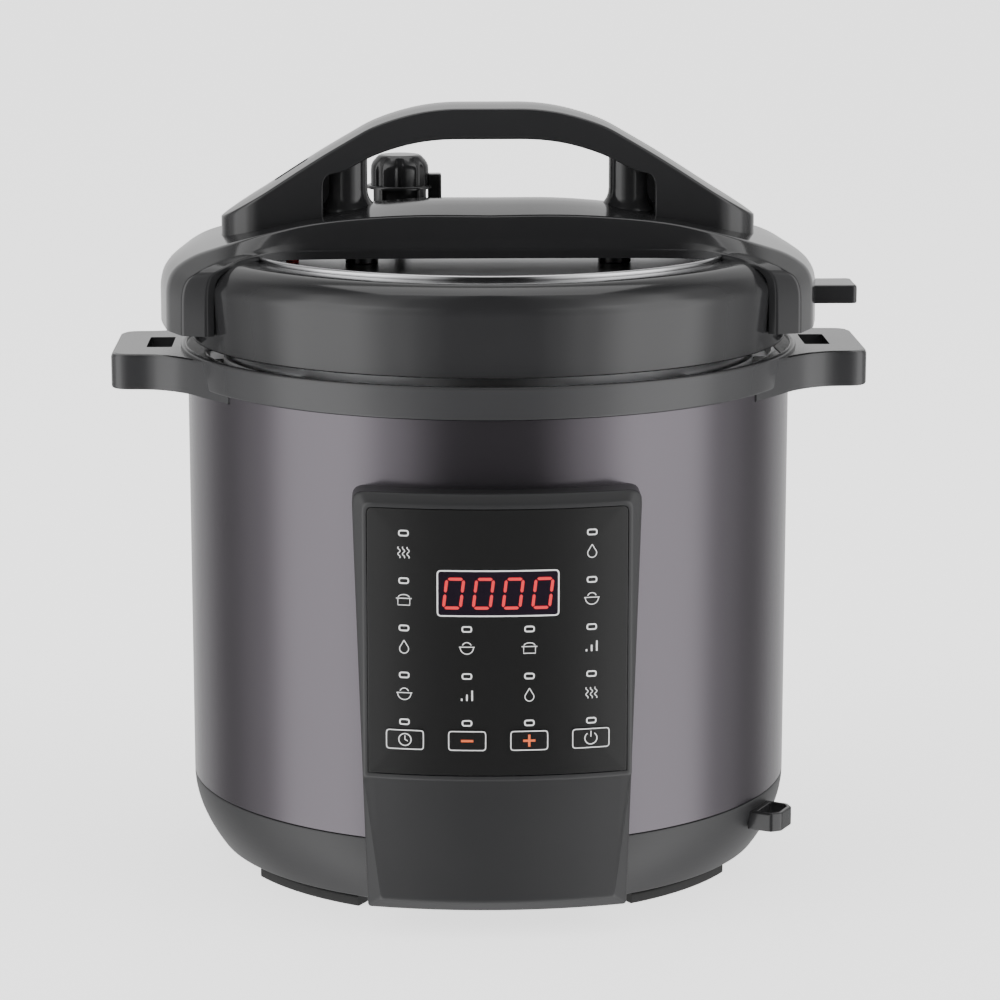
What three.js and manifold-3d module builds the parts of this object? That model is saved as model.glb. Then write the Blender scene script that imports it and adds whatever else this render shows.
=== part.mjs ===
// Electric pressure cooker, about 6 litres, as an assembly of its separate pieces.
// Millimetres, +Z up. The origin is on the table under the axis of the pot, and the front faces -Y.
import * as THREE from "three";
import { mergeVertices } from "three/addons/utils/BufferGeometryUtils.js";
import Module from "manifold-3d";

const wasm = await Module();
wasm.setup();

// ---- Driving dimensions ----

// General
const GAP = 0.3; // between pieces that touch
const PLASTIC = 2.5; // wall of a moulding
const SHEET = 1.2; // wall of a pressed steel piece
const ROUND = 36; // facets round a large turned piece
const FINE = 12; // facets round a small turned piece
const DEGREE = Math.PI / 180;

// Body
const BODY_RADIUS = 137;
const FOOT_HEIGHT = 5;
const BOWL_HEIGHT = 32.5;
const BOWL_TUCK = 12; // how far the bowl draws in at its foot
const SLEEVE_HEIGHT = 185;
const RING_HEIGHT = 14.2;
const RING_OUTSET = 3.2;
const FOOT_WIDTH = 9;
const FOOT_SPAN = 30; // degrees
const COVER_RADIUS = 70;
const SCREW_RADIUS = 1.5;
const SCREW_HEAD_RADIUS = 3.2;
const SCREW_HEAD_HEIGHT = 1;
const SCREW_LENGTH = 9;

// Handles of the body, and the slots that hold the lid's tab
const HANDLE_REACH = 33;
const HANDLE_HALF_WIDTH = 36;
const HANDLE_ROOT_HALF_WIDTH = 64;
const HANDLE_DEPTH = 17.5;
const HANDLE_CORNER = 9;
const SLOT_OFFSET = 6.5; // from the body's radius to the slot's near side
const SLOT_LENGTH = 11.5;
const SLOT_HALF_WIDTH = 15;

// Pots
const WIRING_GAP = 11; // between the sleeve and the outer pot
const POT_AIR_GAP = 14; // between the outer pot and the inner pot
const NECK_FLARE = 3;
const PLATE_LEVEL = 52; // top of the heating plate
const HEATER_RADIUS = 86;
const HEATER_THICKNESS = 10;
const SENSOR_RADIUS = 14;
const SENSOR_HEIGHT = 5;
const SENSOR_STEM_RADIUS = 4;
const SENSOR_STEM_LENGTH = 4;
const SPRING_TURNS = 3;
const SPRING_WIRE_RADIUS = 0.8;
const SPRING_RADIUS = 8;
const BEAM_DROP = 9; // under the heater
const BEAM_THICKNESS = 2;
const BEAM_HALF_WIDTH = 11;
const INNER_RIM = 6;
const INNER_RIM_DROP = 14; // rim of the inner pot below the body ring's top

// Bayonet
const LUGS = 6;
const POT_LUG_SPAN = 30; // degrees
const LID_LUG_SPAN = 24; // degrees
const POT_LUG_DEPTH = 6.5;
const LUG_THICKNESS = 2.2;
const LUG_CLEARANCE = 1.5;

// Lid
const LID_GAP = 2.7; // between the body ring and the lid ring
const LID_SIDE_HEIGHT = 28;
const LID_SHOULDER_RISE = 11;
const LID_SHOULDER_WIDTH = 11;
const LID_LIP = 2; // draw-in of the lid ring's foot
const BEAD_OFFSET = 26; // from the body's radius to the middle of the bright bead
const BEAD_RADIUS = 1.5;
const PAN_SINK = 7; // plate below the lid ring's top
const SEAL_HEIGHT = 8;
const SEAL_LIP_HEIGHT = 4;
const SEAL_WALL = 4;
const RACK_WIDTH = 8;
const RACK_HEIGHT = 3;
const RACK_WALL = 1.4;

// Bridge across the lid
const BRIDGE_RISE = 23.5;
const BRIDGE_HALF_WIDTH = 34;
const BRIDGE_CROWN_RADIUS = 99;
const BRIDGE_FILLET = 42;
const BRIDGE_FLARE_DRAW = 20; // from the body's radius in to where the wide ends begin
const LEG_OUTSET = 13.4;
const LEG_HALF_WIDTH = 64;
const LEG_BEVEL = 2.5;
const LEG_FOOT_GAP = 10.5; // under the legs, over the handles
const POST_SPACING = 57.5; // from the axis to each fixing post
const POST_RADIUS = 7.5;

// Grip
const GRIP_RISE = 42.5;
const GRIP_HALF_DEPTH = 20;
const GRIP_DRAW = 16; // from the body's radius in to the grip's end
const GRIP_THICKNESS = 14;
const GRIP_END_RISE = 9;
const FINGER_HALF_WIDTH = 74;
const COLUMN_OFFSET = 63.5;
const COLUMN_RADIUS = 8.5;
const WINDOW_LENGTH = 12;
const WINDOW_HALF_WIDTH = 4;

// Lid stand tab
const TAB_REACH = 17;
const TAB_THICKNESS = 8.3;
const TAB_HALF_WIDTH = 13;
const TAB_RISE = 14; // above the foot of the lid ring

// Valves
const STEAM_VALVE_X = -40;
const STEAM_VALVE_Y = 53;
const STEAM_PIPE_RADIUS = 5;
const KNOB_SKIRT_RADIUS = 15.5;
const KNOB_CAP_RADIUS = 13.7;
const KNOB_HEIGHT = 29;
const KNOB_SKIRT_HEIGHT = 15;
const FLOAT_DRAW = 32; // from the grip's end in to the float valve
const FLOAT_RADIUS = 3;
const FLOAT_LENGTH = 30;
const FLOAT_SEAL = 1.4;
const FLOAT_TRAVEL = 5;

// Control housing
const CHIN_REACH = 15;
const CHIN_FACE_RADIUS = 200;
const CHIN_TOP_HALF_WIDTH = 61.5;
const CHIN_FOOT_HALF_WIDTH = 55.7;
const CHIN_DROP = 27.3; // top of the housing below the top of the sleeve
const CHIN_FOOT_LEVEL = 11;
const CHIN_BEVEL = 5.5;
const OVERLAY_HALF_WIDTH = 55;
const OVERLAY_HEIGHT = 115;
const OVERLAY_MARGIN = 8; // under the top of the housing
const OVERLAY_THICKNESS = 0.9;
const OVERLAY_CORNER = 3;
const BOARD_DEPTH = 11; // from the face of the housing back to the control board
const DISPLAY_HALF_WIDTH = 26;
const DISPLAY_HALF_HEIGHT = 11;
const DISPLAY_CLEARANCE = 2.1; // behind the film
const KEY_WIDTH = 16.6;
const KEY_HEIGHT = 9.2;
const KEY_DEPTH = 3.4;
const KEY_TRAVEL = 0.4;
const KEY_PITCH = 26.3;
const KEY_RISE = 15.4; // above the foot of the overlay

// Rear and side fittings
const CUP_HALF_ANGLE = 17; // degrees
const CUP_HEIGHT = 62;
const CUP_DROP = 42; // top of the cup below the top of the sleeve
const CUP_WALL = 1.6;
const SPOON_ANGLE = -28; // degrees from the right-hand side
const SPOON_LENGTH = 14;
const SPOON_WIDTH = 20;
const SPOON_HEIGHT = 8.5;
const SPOON_WALL = 2.2;
const SPOON_FRONT_WALL = 1.8;
const SPOON_CHAMFER = 4;
const SPOON_LEVEL = 24;
const INLET_WIDTH = 28;
const INLET_HEIGHT = 20;
const INLET_DEPTH = 20;
const INLET_LEVEL = 22; // middle of the inlet
const INLET_WALL = 2;
const INLET_BACK = 3;
const PIN_HALF_WIDTH = 1;
const PIN_HALF_HEIGHT = 1.5;
const PIN_SPACING = 7;
const EARTH_PIN_RISE = 3;

// ---- Levels and radii that follow from them ----

const bowlTop = FOOT_HEIGHT + BOWL_HEIGHT;
const sleeveBottom = bowlTop + GAP;
const sleeveTop = sleeveBottom + SLEEVE_HEIGHT;
const ringBottom = sleeveTop + GAP;
const ringTop = ringBottom + RING_HEIGHT;
const ringRadius = BODY_RADIUS + RING_OUTSET;
const lidBottom = ringTop + LID_GAP;
const lidShoulder = lidBottom + LID_SIDE_HEIGHT;
const lidTop = lidShoulder + LID_SHOULDER_RISE;
const panTop = lidTop - PAN_SINK;
const bridgeTop = lidTop + BRIDGE_RISE;
const gripTop = bridgeTop + GRIP_RISE;
const gripHalfLength = BODY_RADIUS - GRIP_DRAW;
const floatX = FLOAT_DRAW - gripHalfLength;
const legRadius = BODY_RADIUS + LEG_OUTSET;
const legBottom = ringTop + LEG_FOOT_GAP;
const outerPotRadius = BODY_RADIUS - WIRING_GAP;
const neckRadius = outerPotRadius + NECK_FLARE;
const innerPotRadius = outerPotRadius - POT_AIR_GAP;
const potLugRadius = neckRadius - POT_LUG_DEPTH;
const skirtRadius = potLugRadius - LUG_CLEARANCE - GAP;
const lidLugRadius = neckRadius - LUG_CLEARANCE;
const flangeTop = ringTop - 3;
const potLugBottom = flangeTop - SHEET - LUG_THICKNESS;
const lidLugTop = potLugBottom - 2 * GAP;
const rimTop = ringTop - INNER_RIM_DROP;
const heaterBottom = PLATE_LEVEL - HEATER_THICKNESS;
const beadRadius = BODY_RADIUS - BEAD_OFFSET;
const chinTop = sleeveTop - CHIN_DROP;
const chinFront = BODY_RADIUS + CHIN_REACH;
const chinCentreY = CHIN_FACE_RADIUS - chinFront;
const overlayTop = chinTop - OVERLAY_MARGIN;
const overlayBottom = overlayTop - OVERLAY_HEIGHT;
const keyLevel = overlayBottom + KEY_RISE;
const cupTop = sleeveTop - CUP_DROP;
const cupInner = BODY_RADIUS + 3;
const cupOuter = chinFront;

// ---- Finishes ----

const FINISHES = {
  blackGloss: { color: 0x1b1b1c, roughness: 0.18, metalness: 0 },
  blackSatin: { color: 0x2b2a2c, roughness: 0.45, metalness: 0 },
  darkPaint: { color: 0x4a464b, roughness: 0.32, metalness: 0.7 },
  steel: { color: 0xb9bcc0, roughness: 0.25, metalness: 1 },
  aluminium: { color: 0xa9abad, roughness: 0.5, metalness: 1 },
  nonStick: { color: 0x33343a, roughness: 0.5, metalness: 0.3 },
  silicone: { color: 0xd8d8d2, roughness: 0.6, metalness: 0 },
  rubber: { color: 0x1c1c1c, roughness: 0.85, metalness: 0 },
  clearPlastic: { color: 0x8d9296, roughness: 0.2, metalness: 0 },
  circuit: { color: 0x23583a, roughness: 0.6, metalness: 0 },
  orange: { color: 0xe8792b, roughness: 0.4, metalness: 0 },
  red: { color: 0xb3261e, roughness: 0.4, metalness: 0 },
};

const cooker = new THREE.Group();
const body = new THREE.Group();
const panel = new THREE.Group();
const lid = new THREE.Group();
cooker.add(body, lid);
body.add(panel);

// ---- Helpers: outlines, solids and placing ----

function toSolid(geometry) {
  const bare = geometry.clone();
  bare.deleteAttribute("normal");
  bare.deleteAttribute("uv");
  const merged = mergeVertices(bare, 1e-4);
  const vertProperties = merged.attributes.position.array;
  const triVerts = new Uint32Array(merged.index.array);
  const made = new wasm.Manifold(new wasm.Mesh({ numProp: 3, vertProperties, triVerts }));
  if (made.volume() > 0) return made;
  return new wasm.Manifold(new wasm.Mesh({ numProp: 3, vertProperties, triVerts: triVerts.reverse() }));
}

function toGeometry(solid) {
  const mesh = solid.getMesh();
  const geometry = new THREE.BufferGeometry();
  geometry.setAttribute("position", new THREE.BufferAttribute(new Float32Array(mesh.vertProperties), 3));
  geometry.setIndex(new THREE.BufferAttribute(new Uint32Array(mesh.triVerts), 1));
  geometry.computeVertexNormals();
  return geometry;
}

// A solid turned about Z from [radius, height] points. It closes on the axis, or else on itself.
function turned(profile, facets = ROUND) {
  const points = profile.map(([r, z]) => new THREE.Vector2(r, z));
  const first = points[0];
  const last = points[points.length - 1];
  if (first.x > 0 || last.x > 0) points.push(first.clone());
  return toSolid(new THREE.LatheGeometry(points, facets).rotateX(Math.PI / 2));
}

const PLANES = {
  top: new THREE.Matrix4(),
  front: new THREE.Matrix4().makeBasis(
    new THREE.Vector3(1, 0, 0),
    new THREE.Vector3(0, 0, 1),
    new THREE.Vector3(0, -1, 0),
  ),
  side: new THREE.Matrix4().makeBasis(
    new THREE.Vector3(0, 1, 0),
    new THREE.Vector3(0, 0, 1),
    new THREE.Vector3(1, 0, 0),
  ),
};

// An outline extruded from low to high along Z (top), Y (front) or X (side).
function prism(outline, low, high, plane = "top", curveSegments = 8) {
  const corners = Array.isArray(outline) ? outline.map(([u, v]) => new THREE.Vector2(u, v)) : null;
  const shape = corners ? new THREE.Shape(corners) : outline;
  const options = { depth: high - low, bevelEnabled: false, curveSegments };
  const geometry = new THREE.ExtrudeGeometry(shape, options);
  geometry.translate(0, 0, plane === "front" ? -high : low);
  return toSolid(geometry.applyMatrix4(PLANES[plane]));
}

function block(low, high) {
  const size = high.map((value, i) => value - low[i]);
  const middle = high.map((value, i) => (value + low[i]) / 2);
  return toSolid(new THREE.BoxGeometry(...size).translate(...middle));
}

// A round bar along Z.
function bar(x, y, radius, low, high, facets = FINE) {
  return turned([[0, low], [radius, low], [radius, high], [0, high]], facets).translate([x, y, 0]);
}

function roundedRectangle(x, y, width, height, corner) {
  const left = x - width / 2 + corner;
  const right = x + width / 2 - corner;
  const low = y - height / 2 + corner;
  const high = y + height / 2 - corner;
  const shape = new THREE.Shape();
  shape.absarc(right, high, corner, 0, Math.PI / 2, false);
  shape.absarc(left, high, corner, Math.PI / 2, Math.PI, false);
  shape.absarc(left, low, corner, Math.PI, 1.5 * Math.PI, false);
  shape.absarc(right, low, corner, 1.5 * Math.PI, 2 * Math.PI, false);
  return shape;
}

function chamferedRectangle(x, y, width, height, chamfer) {
  const [w, h] = [width / 2, height / 2];
  return [
    [x - w, y - h],
    [x + w - chamfer, y - h],
    [x + w, y - h + chamfer],
    [x + w, y + h - chamfer],
    [x + w - chamfer, y + h],
    [x - w, y + h],
  ];
}

// A slice of a ring between two radii, centred on an angle in degrees.
function ringSlice(inner, outer, middle, span, low, high, segments = 6) {
  const start = (middle - span / 2) * DEGREE;
  const end = (middle + span / 2) * DEGREE;
  const shape = new THREE.Shape();
  shape.absarc(0, 0, outer, start, end, false);
  shape.absarc(0, 0, inner, end, start, true);
  return prism(shape, low, high, "top", segments);
}

function joined(solids) {
  return solids.reduce((sum, solid) => sum.add(solid));
}

function cut(solid, tools) {
  return tools.reduce((rest, tool) => rest.subtract(tool), solid);
}

function place(group, name, solid, finish, position = [0, 0, 0], turn = 0) {
  const material = new THREE.MeshStandardMaterial(FINISHES[finish]);
  const mesh = new THREE.Mesh(toGeometry(solid), material);
  mesh.name = name;
  mesh.position.set(...position);
  mesh.rotation.z = turn;
  group.add(mesh);
}

// ---- Shapes that several pieces follow ----

// Outside of the bowl and the sleeve, grown by a clearance.
function bodyEnvelope(clearance) {
  const r = BODY_RADIUS + clearance;
  return turned([
    [0, FOOT_HEIGHT - clearance],
    [r - BOWL_TUCK - 4, FOOT_HEIGHT - clearance],
    [r - BOWL_TUCK, FOOT_HEIGHT + 1.5],
    [r - BOWL_TUCK / 2, FOOT_HEIGHT + BOWL_HEIGHT * 0.34],
    [r - BOWL_TUCK / 8, FOOT_HEIGHT + BOWL_HEIGHT * 0.7],
    [r, bowlTop],
    [r, sleeveTop],
    [0, sleeveTop],
  ]);
}

// The rounded shoulder of the lid ring, grown by a clearance.
function lidShoulderCurve(clearance) {
  const r = BODY_RADIUS + clearance;
  const level = lidShoulder + clearance;
  return [
    [r, level],
    [r - LID_SHOULDER_WIDTH * 0.22, level + LID_SHOULDER_RISE * 0.42],
    [r - LID_SHOULDER_WIDTH * 0.55, level + LID_SHOULDER_RISE * 0.73],
    [r - LID_SHOULDER_WIDTH, level + LID_SHOULDER_RISE - 1],
  ];
}

// Outside of the lid under the bridge, grown by a clearance.
function lidEnvelope(clearance) {
  const r = BODY_RADIUS + clearance;
  return turned([
    [0, lidBottom - 20],
    [r, lidBottom - 20],
    ...lidShoulderCurve(clearance),
    [beadRadius + BEAD_RADIUS + 1, lidTop + BEAD_RADIUS + clearance],
    [beadRadius - BEAD_RADIUS - 1, lidTop + BEAD_RADIUS + clearance],
    [beadRadius - BEAD_RADIUS - 1, lidTop - 1.2],
    [0, lidTop - 1.2],
  ]);
}

// The slab that follows the control housing's curved face, between two depths behind it.
function faceSlab(near, far) {
  const shape = new THREE.Shape();
  const half = 24 * DEGREE;
  shape.absarc(0, chinCentreY, CHIN_FACE_RADIUS - near, -Math.PI / 2 - half, -Math.PI / 2 + half, false);
  shape.absarc(0, chinCentreY, CHIN_FACE_RADIUS - far, -Math.PI / 2 + half, -Math.PI / 2 - half, true);
  return prism(shape, 0, chinTop + 10, "top", 10);
}

// A rounded rectangle on the control housing's face, between two depths behind it.
function facePatch(x, z, width, height, corner, near, far) {
  const outline = roundedRectangle(x, z, width, height, corner);
  return prism(outline, -chinFront - 5, -chinFront + 25, "front", 2).intersect(faceSlab(near, far));
}

// The bridge's block, with its faces drawn in by an inset.
function bridgeBlock(inset) {
  const reach = legRadius - inset;
  const top = bridgeTop - inset;
  const arch = new THREE.Shape();
  arch.moveTo(-reach, legBottom - 10);
  arch.lineTo(-reach, lidShoulder - 15);
  arch.bezierCurveTo(-reach, lidShoulder + 6, -reach + 17, top - 18, -reach + 40, top - 13.5);
  arch.bezierCurveTo(-reach + 76, top - 6, -40, top, 0, top);
  arch.bezierCurveTo(40, top, reach - 76, top - 6, reach - 40, top - 13.5);
  arch.bezierCurveTo(reach - 17, top - 18, reach, lidShoulder + 6, reach, lidShoulder - 15);
  arch.lineTo(reach, legBottom - 10);
  const wide = LEG_HALF_WIDTH - inset;
  const crown = new THREE.Shape();
  crown.moveTo(-wide, legBottom - 10);
  crown.lineTo(wide, legBottom - 10);
  const spread = Math.asin(Math.min(1, wide / BRIDGE_CROWN_RADIUS));
  const middle = Math.PI / 2;
  crown.absarc(0, top - BRIDGE_CROWN_RADIUS, BRIDGE_CROWN_RADIUS, middle - spread, middle + spread, false);
  const plan = bridgePlan(inset);
  return prism(arch, -wide - 5, wide + 5, "front", 9)
    .intersect(prism(plan, legBottom - 10, top + 1, "top", 6))
    .intersect(prism(crown, -reach - 5, reach + 5, "side", 12))
    .intersect(turned([[0, legBottom - 10], [reach, legBottom - 10], [reach, top + 1], [0, top + 1]]));
}

// The bridge from above: a band whose ends flare into the wide legs.
function bridgePlan(inset) {
  const centreX = BODY_RADIUS - BRIDGE_FLARE_DRAW - BRIDGE_FILLET;
  const centreY = BRIDGE_HALF_WIDTH + BRIDGE_FILLET;
  const radius = BRIDGE_FILLET + inset;
  const wide = LEG_HALF_WIDTH - inset;
  const corner = BODY_RADIUS + LEG_OUTSET * 0.1 - inset;
  const start = Math.asin((centreY - wide) / radius);
  const shape = new THREE.Shape();
  const quarters = [
    [1, 1],
    [-1, 1],
    [-1, -1],
    [1, -1],
  ];
  quarters.forEach(([sx, sy]) => {
    const leg = [
      [legRadius + 5, (wide - 20) * sy],
      [corner, (wide - LEG_BEVEL) * sy],
      [corner - 11, wide * sy],
    ];
    const fillet = [];
    for (let i = 0; i <= 6; i += 1) {
      const angle = start + (i / 6) * (Math.PI / 2 - start);
      fillet.push([centreX + radius * Math.cos(angle), (centreY - radius * Math.sin(angle)) * sy]);
    }
    const run = [...leg, ...fillet].map(([x, y]) => [x * sx, y]);
    const ordered = sx * sy > 0 ? run : run.reverse();
    ordered.forEach(([x, y], i) => {
      if (shape.curves.length === 0 && i === 0 && shape.currentPoint.length() === 0) shape.moveTo(x, y);
      else shape.lineTo(x, y);
    });
  });
  return shape;
}

// ---- Base ----

const bowlFloor = FOOT_HEIGHT + PLASTIC;
const coverHoleRadius = COVER_RADIUS - 8;
const coverScrewRadius = COVER_RADIUS - 4;
const coverScrewAngles = [90, 210, 330];
const beamReach = HEATER_RADIUS + 8;
const beamLevel = heaterBottom - BEAM_DROP;
const coverTop = FOOT_HEIGHT - GAP;
const coverBottom = coverTop - 2;
const screwTop = coverBottom - GAP - SCREW_HEAD_HEIGHT + SCREW_LENGTH;

function around(radius, degrees) {
  return [radius * Math.cos(degrees * DEGREE), radius * Math.sin(degrees * DEGREE)];
}

function baseBowl() {
  const inner = BODY_RADIUS - PLASTIC;
  const shell = turned([
    [coverHoleRadius, FOOT_HEIGHT],
    [BODY_RADIUS - BOWL_TUCK - 4, FOOT_HEIGHT],
    [BODY_RADIUS - BOWL_TUCK, FOOT_HEIGHT + 1.5],
    [BODY_RADIUS - BOWL_TUCK / 2, FOOT_HEIGHT + BOWL_HEIGHT * 0.34],
    [BODY_RADIUS - BOWL_TUCK / 8, FOOT_HEIGHT + BOWL_HEIGHT * 0.7],
    [BODY_RADIUS, bowlTop],
    [inner, bowlTop],
    [inner - BOWL_TUCK / 8, FOOT_HEIGHT + BOWL_HEIGHT * 0.7],
    [inner - BOWL_TUCK / 2, FOOT_HEIGHT + BOWL_HEIGHT * 0.36],
    [inner - BOWL_TUCK - 1, bowlFloor],
    [coverHoleRadius, bowlFloor],
  ]);
  const posts = [-1, 1].map((side) => bar(side * beamReach, 0, 5, bowlFloor - 1, beamLevel - GAP));
  const screwHoles = coverScrewAngles.map((angle) => {
    const [x, y] = around(coverScrewRadius, angle);
    return bar(x, y, SCREW_RADIUS + GAP, FOOT_HEIGHT - 1, bowlFloor + 1);
  });
  const postBores = [-1, 1].map((side) =>
    bar(side * beamReach, 0, SCREW_RADIUS + GAP, bowlFloor + 4, beamLevel + 1),
  );
  const inletHole = block(
    [-INLET_WIDTH / 2 - GAP, BODY_RADIUS - 30, INLET_LEVEL - INLET_HEIGHT / 2 - GAP],
    [INLET_WIDTH / 2 + GAP, BODY_RADIUS + 5, INLET_LEVEL + INLET_HEIGHT / 2 + GAP],
  );
  return cut(joined([shell, ...posts]), [...screwHoles, ...postBores, inletHole]);
}

function foot() {
  const outer = BODY_RADIUS - BOWL_TUCK - 4;
  return ringSlice(outer - FOOT_WIDTH, outer, 0, FOOT_SPAN, 0, FOOT_HEIGHT - GAP);
}

function bottomCover() {
  const disc = bar(0, 0, COVER_RADIUS, coverBottom, coverTop, ROUND);
  const holes = coverScrewAngles.map((angle) => {
    const [x, y] = around(coverScrewRadius, angle);
    return bar(x, y, SCREW_RADIUS + GAP, 0, FOOT_HEIGHT);
  });
  const vent = block([-2, -24, 0], [2, 24, FOOT_HEIGHT]);
  const vents = [-2, -1, 0, 1, 2].map((i) => vent.translate([i * 12, 0, 0]));
  return cut(disc, [...holes, ...vents]);
}

// A round-headed screw that stands head down with its head under z = 0.
function screw(length) {
  return turned(
    [
      [0, -SCREW_HEAD_HEIGHT],
      [SCREW_HEAD_RADIUS, -SCREW_HEAD_HEIGHT],
      [SCREW_HEAD_RADIUS, 0],
      [SCREW_RADIUS, 0],
      [SCREW_RADIUS, length],
      [0, length],
    ],
    10,
  );
}

function outerSleeve() {
  const shell = turned([
    [BODY_RADIUS - SHEET, sleeveBottom],
    [BODY_RADIUS, sleeveBottom],
    [BODY_RADIUS, sleeveTop],
    [BODY_RADIUS - SHEET, sleeveTop],
  ]);
  const window = block([-30, -BODY_RADIUS - 5, sleeveBottom + 30], [30, -BODY_RADIUS + 15, chinTop - 30]);
  return shell.subtract(window);
}

function handlePlan(side) {
  const tip = BODY_RADIUS + HANDLE_REACH;
  const half = HANDLE_HALF_WIDTH;
  const root = HANDLE_ROOT_HALF_WIDTH;
  const rootX = Math.sqrt(ringRadius * ringRadius - root * root) - 3;
  const flareX = ringRadius + 8;
  const c = HANDLE_CORNER;
  const shape = new THREE.Shape();
  shape.moveTo(side * rootX, -root);
  shape.quadraticCurveTo(side * (ringRadius + 1), -half - 3, side * flareX, -half);
  shape.lineTo(side * (tip - c), -half);
  shape.quadraticCurveTo(side * tip, -half, side * tip, -half + c);
  shape.lineTo(side * tip, half - c);
  shape.quadraticCurveTo(side * tip, half, side * (tip - c), half);
  shape.lineTo(side * flareX, half);
  shape.quadraticCurveTo(side * (ringRadius + 1), half + 3, side * rootX, root);
  return shape;
}

function bodyRing() {
  const lip = BODY_RADIUS + 0.4;
  const ledge = neckRadius + 2;
  const ring = turned([
    [ledge, ringBottom],
    [ringRadius - 1, ringBottom],
    [ringRadius, ringTop],
    [lip, ringTop],
    [lip, ringTop - 5],
    [ledge, ringTop - 5],
  ]);
  const hollow = turned([
    [0, ringBottom - 30],
    [ledge, ringBottom - 30],
    [ledge, ringTop - 5],
    [lip, ringTop - 5],
    [lip, ringTop + 5],
    [0, ringTop + 5],
  ]);
  const handleBottom = ringTop - HANDLE_DEPTH;
  const blanks = [-1, 1].map((side) => prism(handlePlan(side), handleBottom, ringTop, "top", 6));
  const handles = blanks.map((blank) => cut(blank, [hollow, bodyEnvelope(GAP)]));
  const slotNear = BODY_RADIUS + SLOT_OFFSET;
  const slots = [-1, 1].map((side) => {
    const near = side * slotNear;
    const far = side * (slotNear + SLOT_LENGTH);
    return block(
      [Math.min(near, far), -SLOT_HALF_WIDTH, handleBottom - 1],
      [Math.max(near, far), SLOT_HALF_WIDTH, ringTop + 1],
    );
  });
  return cut(joined([ring, ...handles]), slots);
}

// ---- Pots and heater ----

function outerPot() {
  const flange = BODY_RADIUS;
  const floor = heaterBottom + 2;
  const hole = HEATER_RADIUS + 1;
  const shell = turned([
    [hole, floor],
    [outerPotRadius - 10, floor],
    [outerPotRadius, floor + 10],
    [outerPotRadius, lidLugTop - LUG_THICKNESS - 6],
    [neckRadius + SHEET, lidLugTop - LUG_THICKNESS - 2],
    [neckRadius + SHEET, flangeTop - SHEET],
    [flange, flangeTop - SHEET],
    [flange, flangeTop],
    [neckRadius, flangeTop],
    [neckRadius, lidLugTop - LUG_THICKNESS - 1.4],
    [outerPotRadius - SHEET, lidLugTop - LUG_THICKNESS - 5.4],
    [outerPotRadius - SHEET, floor + 10.6],
    [outerPotRadius - 10.6, floor + SHEET],
    [hole, floor + SHEET],
  ]);
  const lugs = lugAngles(30).map((angle) =>
    ringSlice(potLugRadius, neckRadius + 0.6, angle, POT_LUG_SPAN, potLugBottom, flangeTop - SHEET, 4),
  );
  return joined([shell, ...lugs]);
}

function lugAngles(start) {
  return Array.from({ length: LUGS }, (_, i) => start + (i * 360) / LUGS);
}

function innerPot() {
  const floor = PLATE_LEVEL + GAP;
  const wall = 1.8;
  const r = innerPotRadius;
  const rim = r + INNER_RIM;
  return turned([
    [0, floor],
    [r - 12, floor],
    [r - 3, floor + 4],
    [r, floor + 13],
    [r, rimTop - 2 * wall],
    [rim, rimTop - wall],
    [rim, rimTop],
    [r - wall + 1, rimTop],
    [r - wall, rimTop - 2],
    [r - wall, floor + 13.5],
    [r - 4.6, floor + 5.5],
    [r - 12.5, floor + wall],
    [0, floor + wall],
  ]);
}

function heatingPlate() {
  const plate = turned([
    [SENSOR_RADIUS + 2, heaterBottom],
    [HEATER_RADIUS, heaterBottom],
    [HEATER_RADIUS, PLATE_LEVEL - 2],
    [HEATER_RADIUS - 4, PLATE_LEVEL],
    [SENSOR_RADIUS + 2, PLATE_LEVEL],
  ]);
  const element = turned([
    [HEATER_RADIUS - 26, heaterBottom - 5],
    [HEATER_RADIUS - 17, heaterBottom - 5],
    [HEATER_RADIUS - 15, heaterBottom + 1],
    [HEATER_RADIUS - 28, heaterBottom + 1],
  ]);
  return plate.add(element);
}

function temperatureSensor() {
  const top = PLATE_LEVEL;
  const bottom = top - SENSOR_HEIGHT;
  return turned(
    [
      [0, bottom - SENSOR_STEM_LENGTH],
      [SENSOR_STEM_RADIUS, bottom - SENSOR_STEM_LENGTH],
      [SENSOR_STEM_RADIUS, bottom],
      [SENSOR_RADIUS, bottom],
      [SENSOR_RADIUS, top - 1],
      [SENSOR_RADIUS - 1.5, top],
      [0, top],
    ],
    24,
  );
}

const springTop = PLATE_LEVEL - SENSOR_HEIGHT - GAP;
const springBottom = beamLevel + BEAM_THICKNESS + GAP;

function sensorSpring() {
  const steps = SPRING_TURNS * FINE;
  const height = springTop - springBottom - 2 * SPRING_WIRE_RADIUS;
  const points = Array.from({ length: steps + 1 }, (_, i) => {
    const angle = (i / steps) * SPRING_TURNS * 2 * Math.PI;
    const level = springBottom + SPRING_WIRE_RADIUS + (height * i) / steps;
    return new THREE.Vector3(SPRING_RADIUS * Math.cos(angle), SPRING_RADIUS * Math.sin(angle), level);
  });
  const path = new THREE.CatmullRomCurve3(points);
  const section = new THREE.Shape();
  section.absarc(0, 0, SPRING_WIRE_RADIUS, 0, 2 * Math.PI, false);
  const options = { steps, extrudePath: path, bevelEnabled: false, curveSegments: 3 };
  return toSolid(new THREE.ExtrudeGeometry(section, options));
}

// The springy steel beam that carries the heater and gives way under pressure.
function springBeam() {
  const end = beamReach + 8;
  const top = beamLevel + BEAM_THICKNESS;
  const strip = block([-end, -BEAM_HALF_WIDTH, beamLevel], [end, BEAM_HALF_WIDTH, top]);
  const holes = [-1, 1].map((side) =>
    bar(side * beamReach, 0, SCREW_RADIUS + GAP, beamLevel - 1, top + 1),
  );
  const middle = bar(0, 0, SENSOR_STEM_RADIUS + 1.5, beamLevel - 1, top + 1);
  return cut(strip, [...holes, middle]);
}

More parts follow.
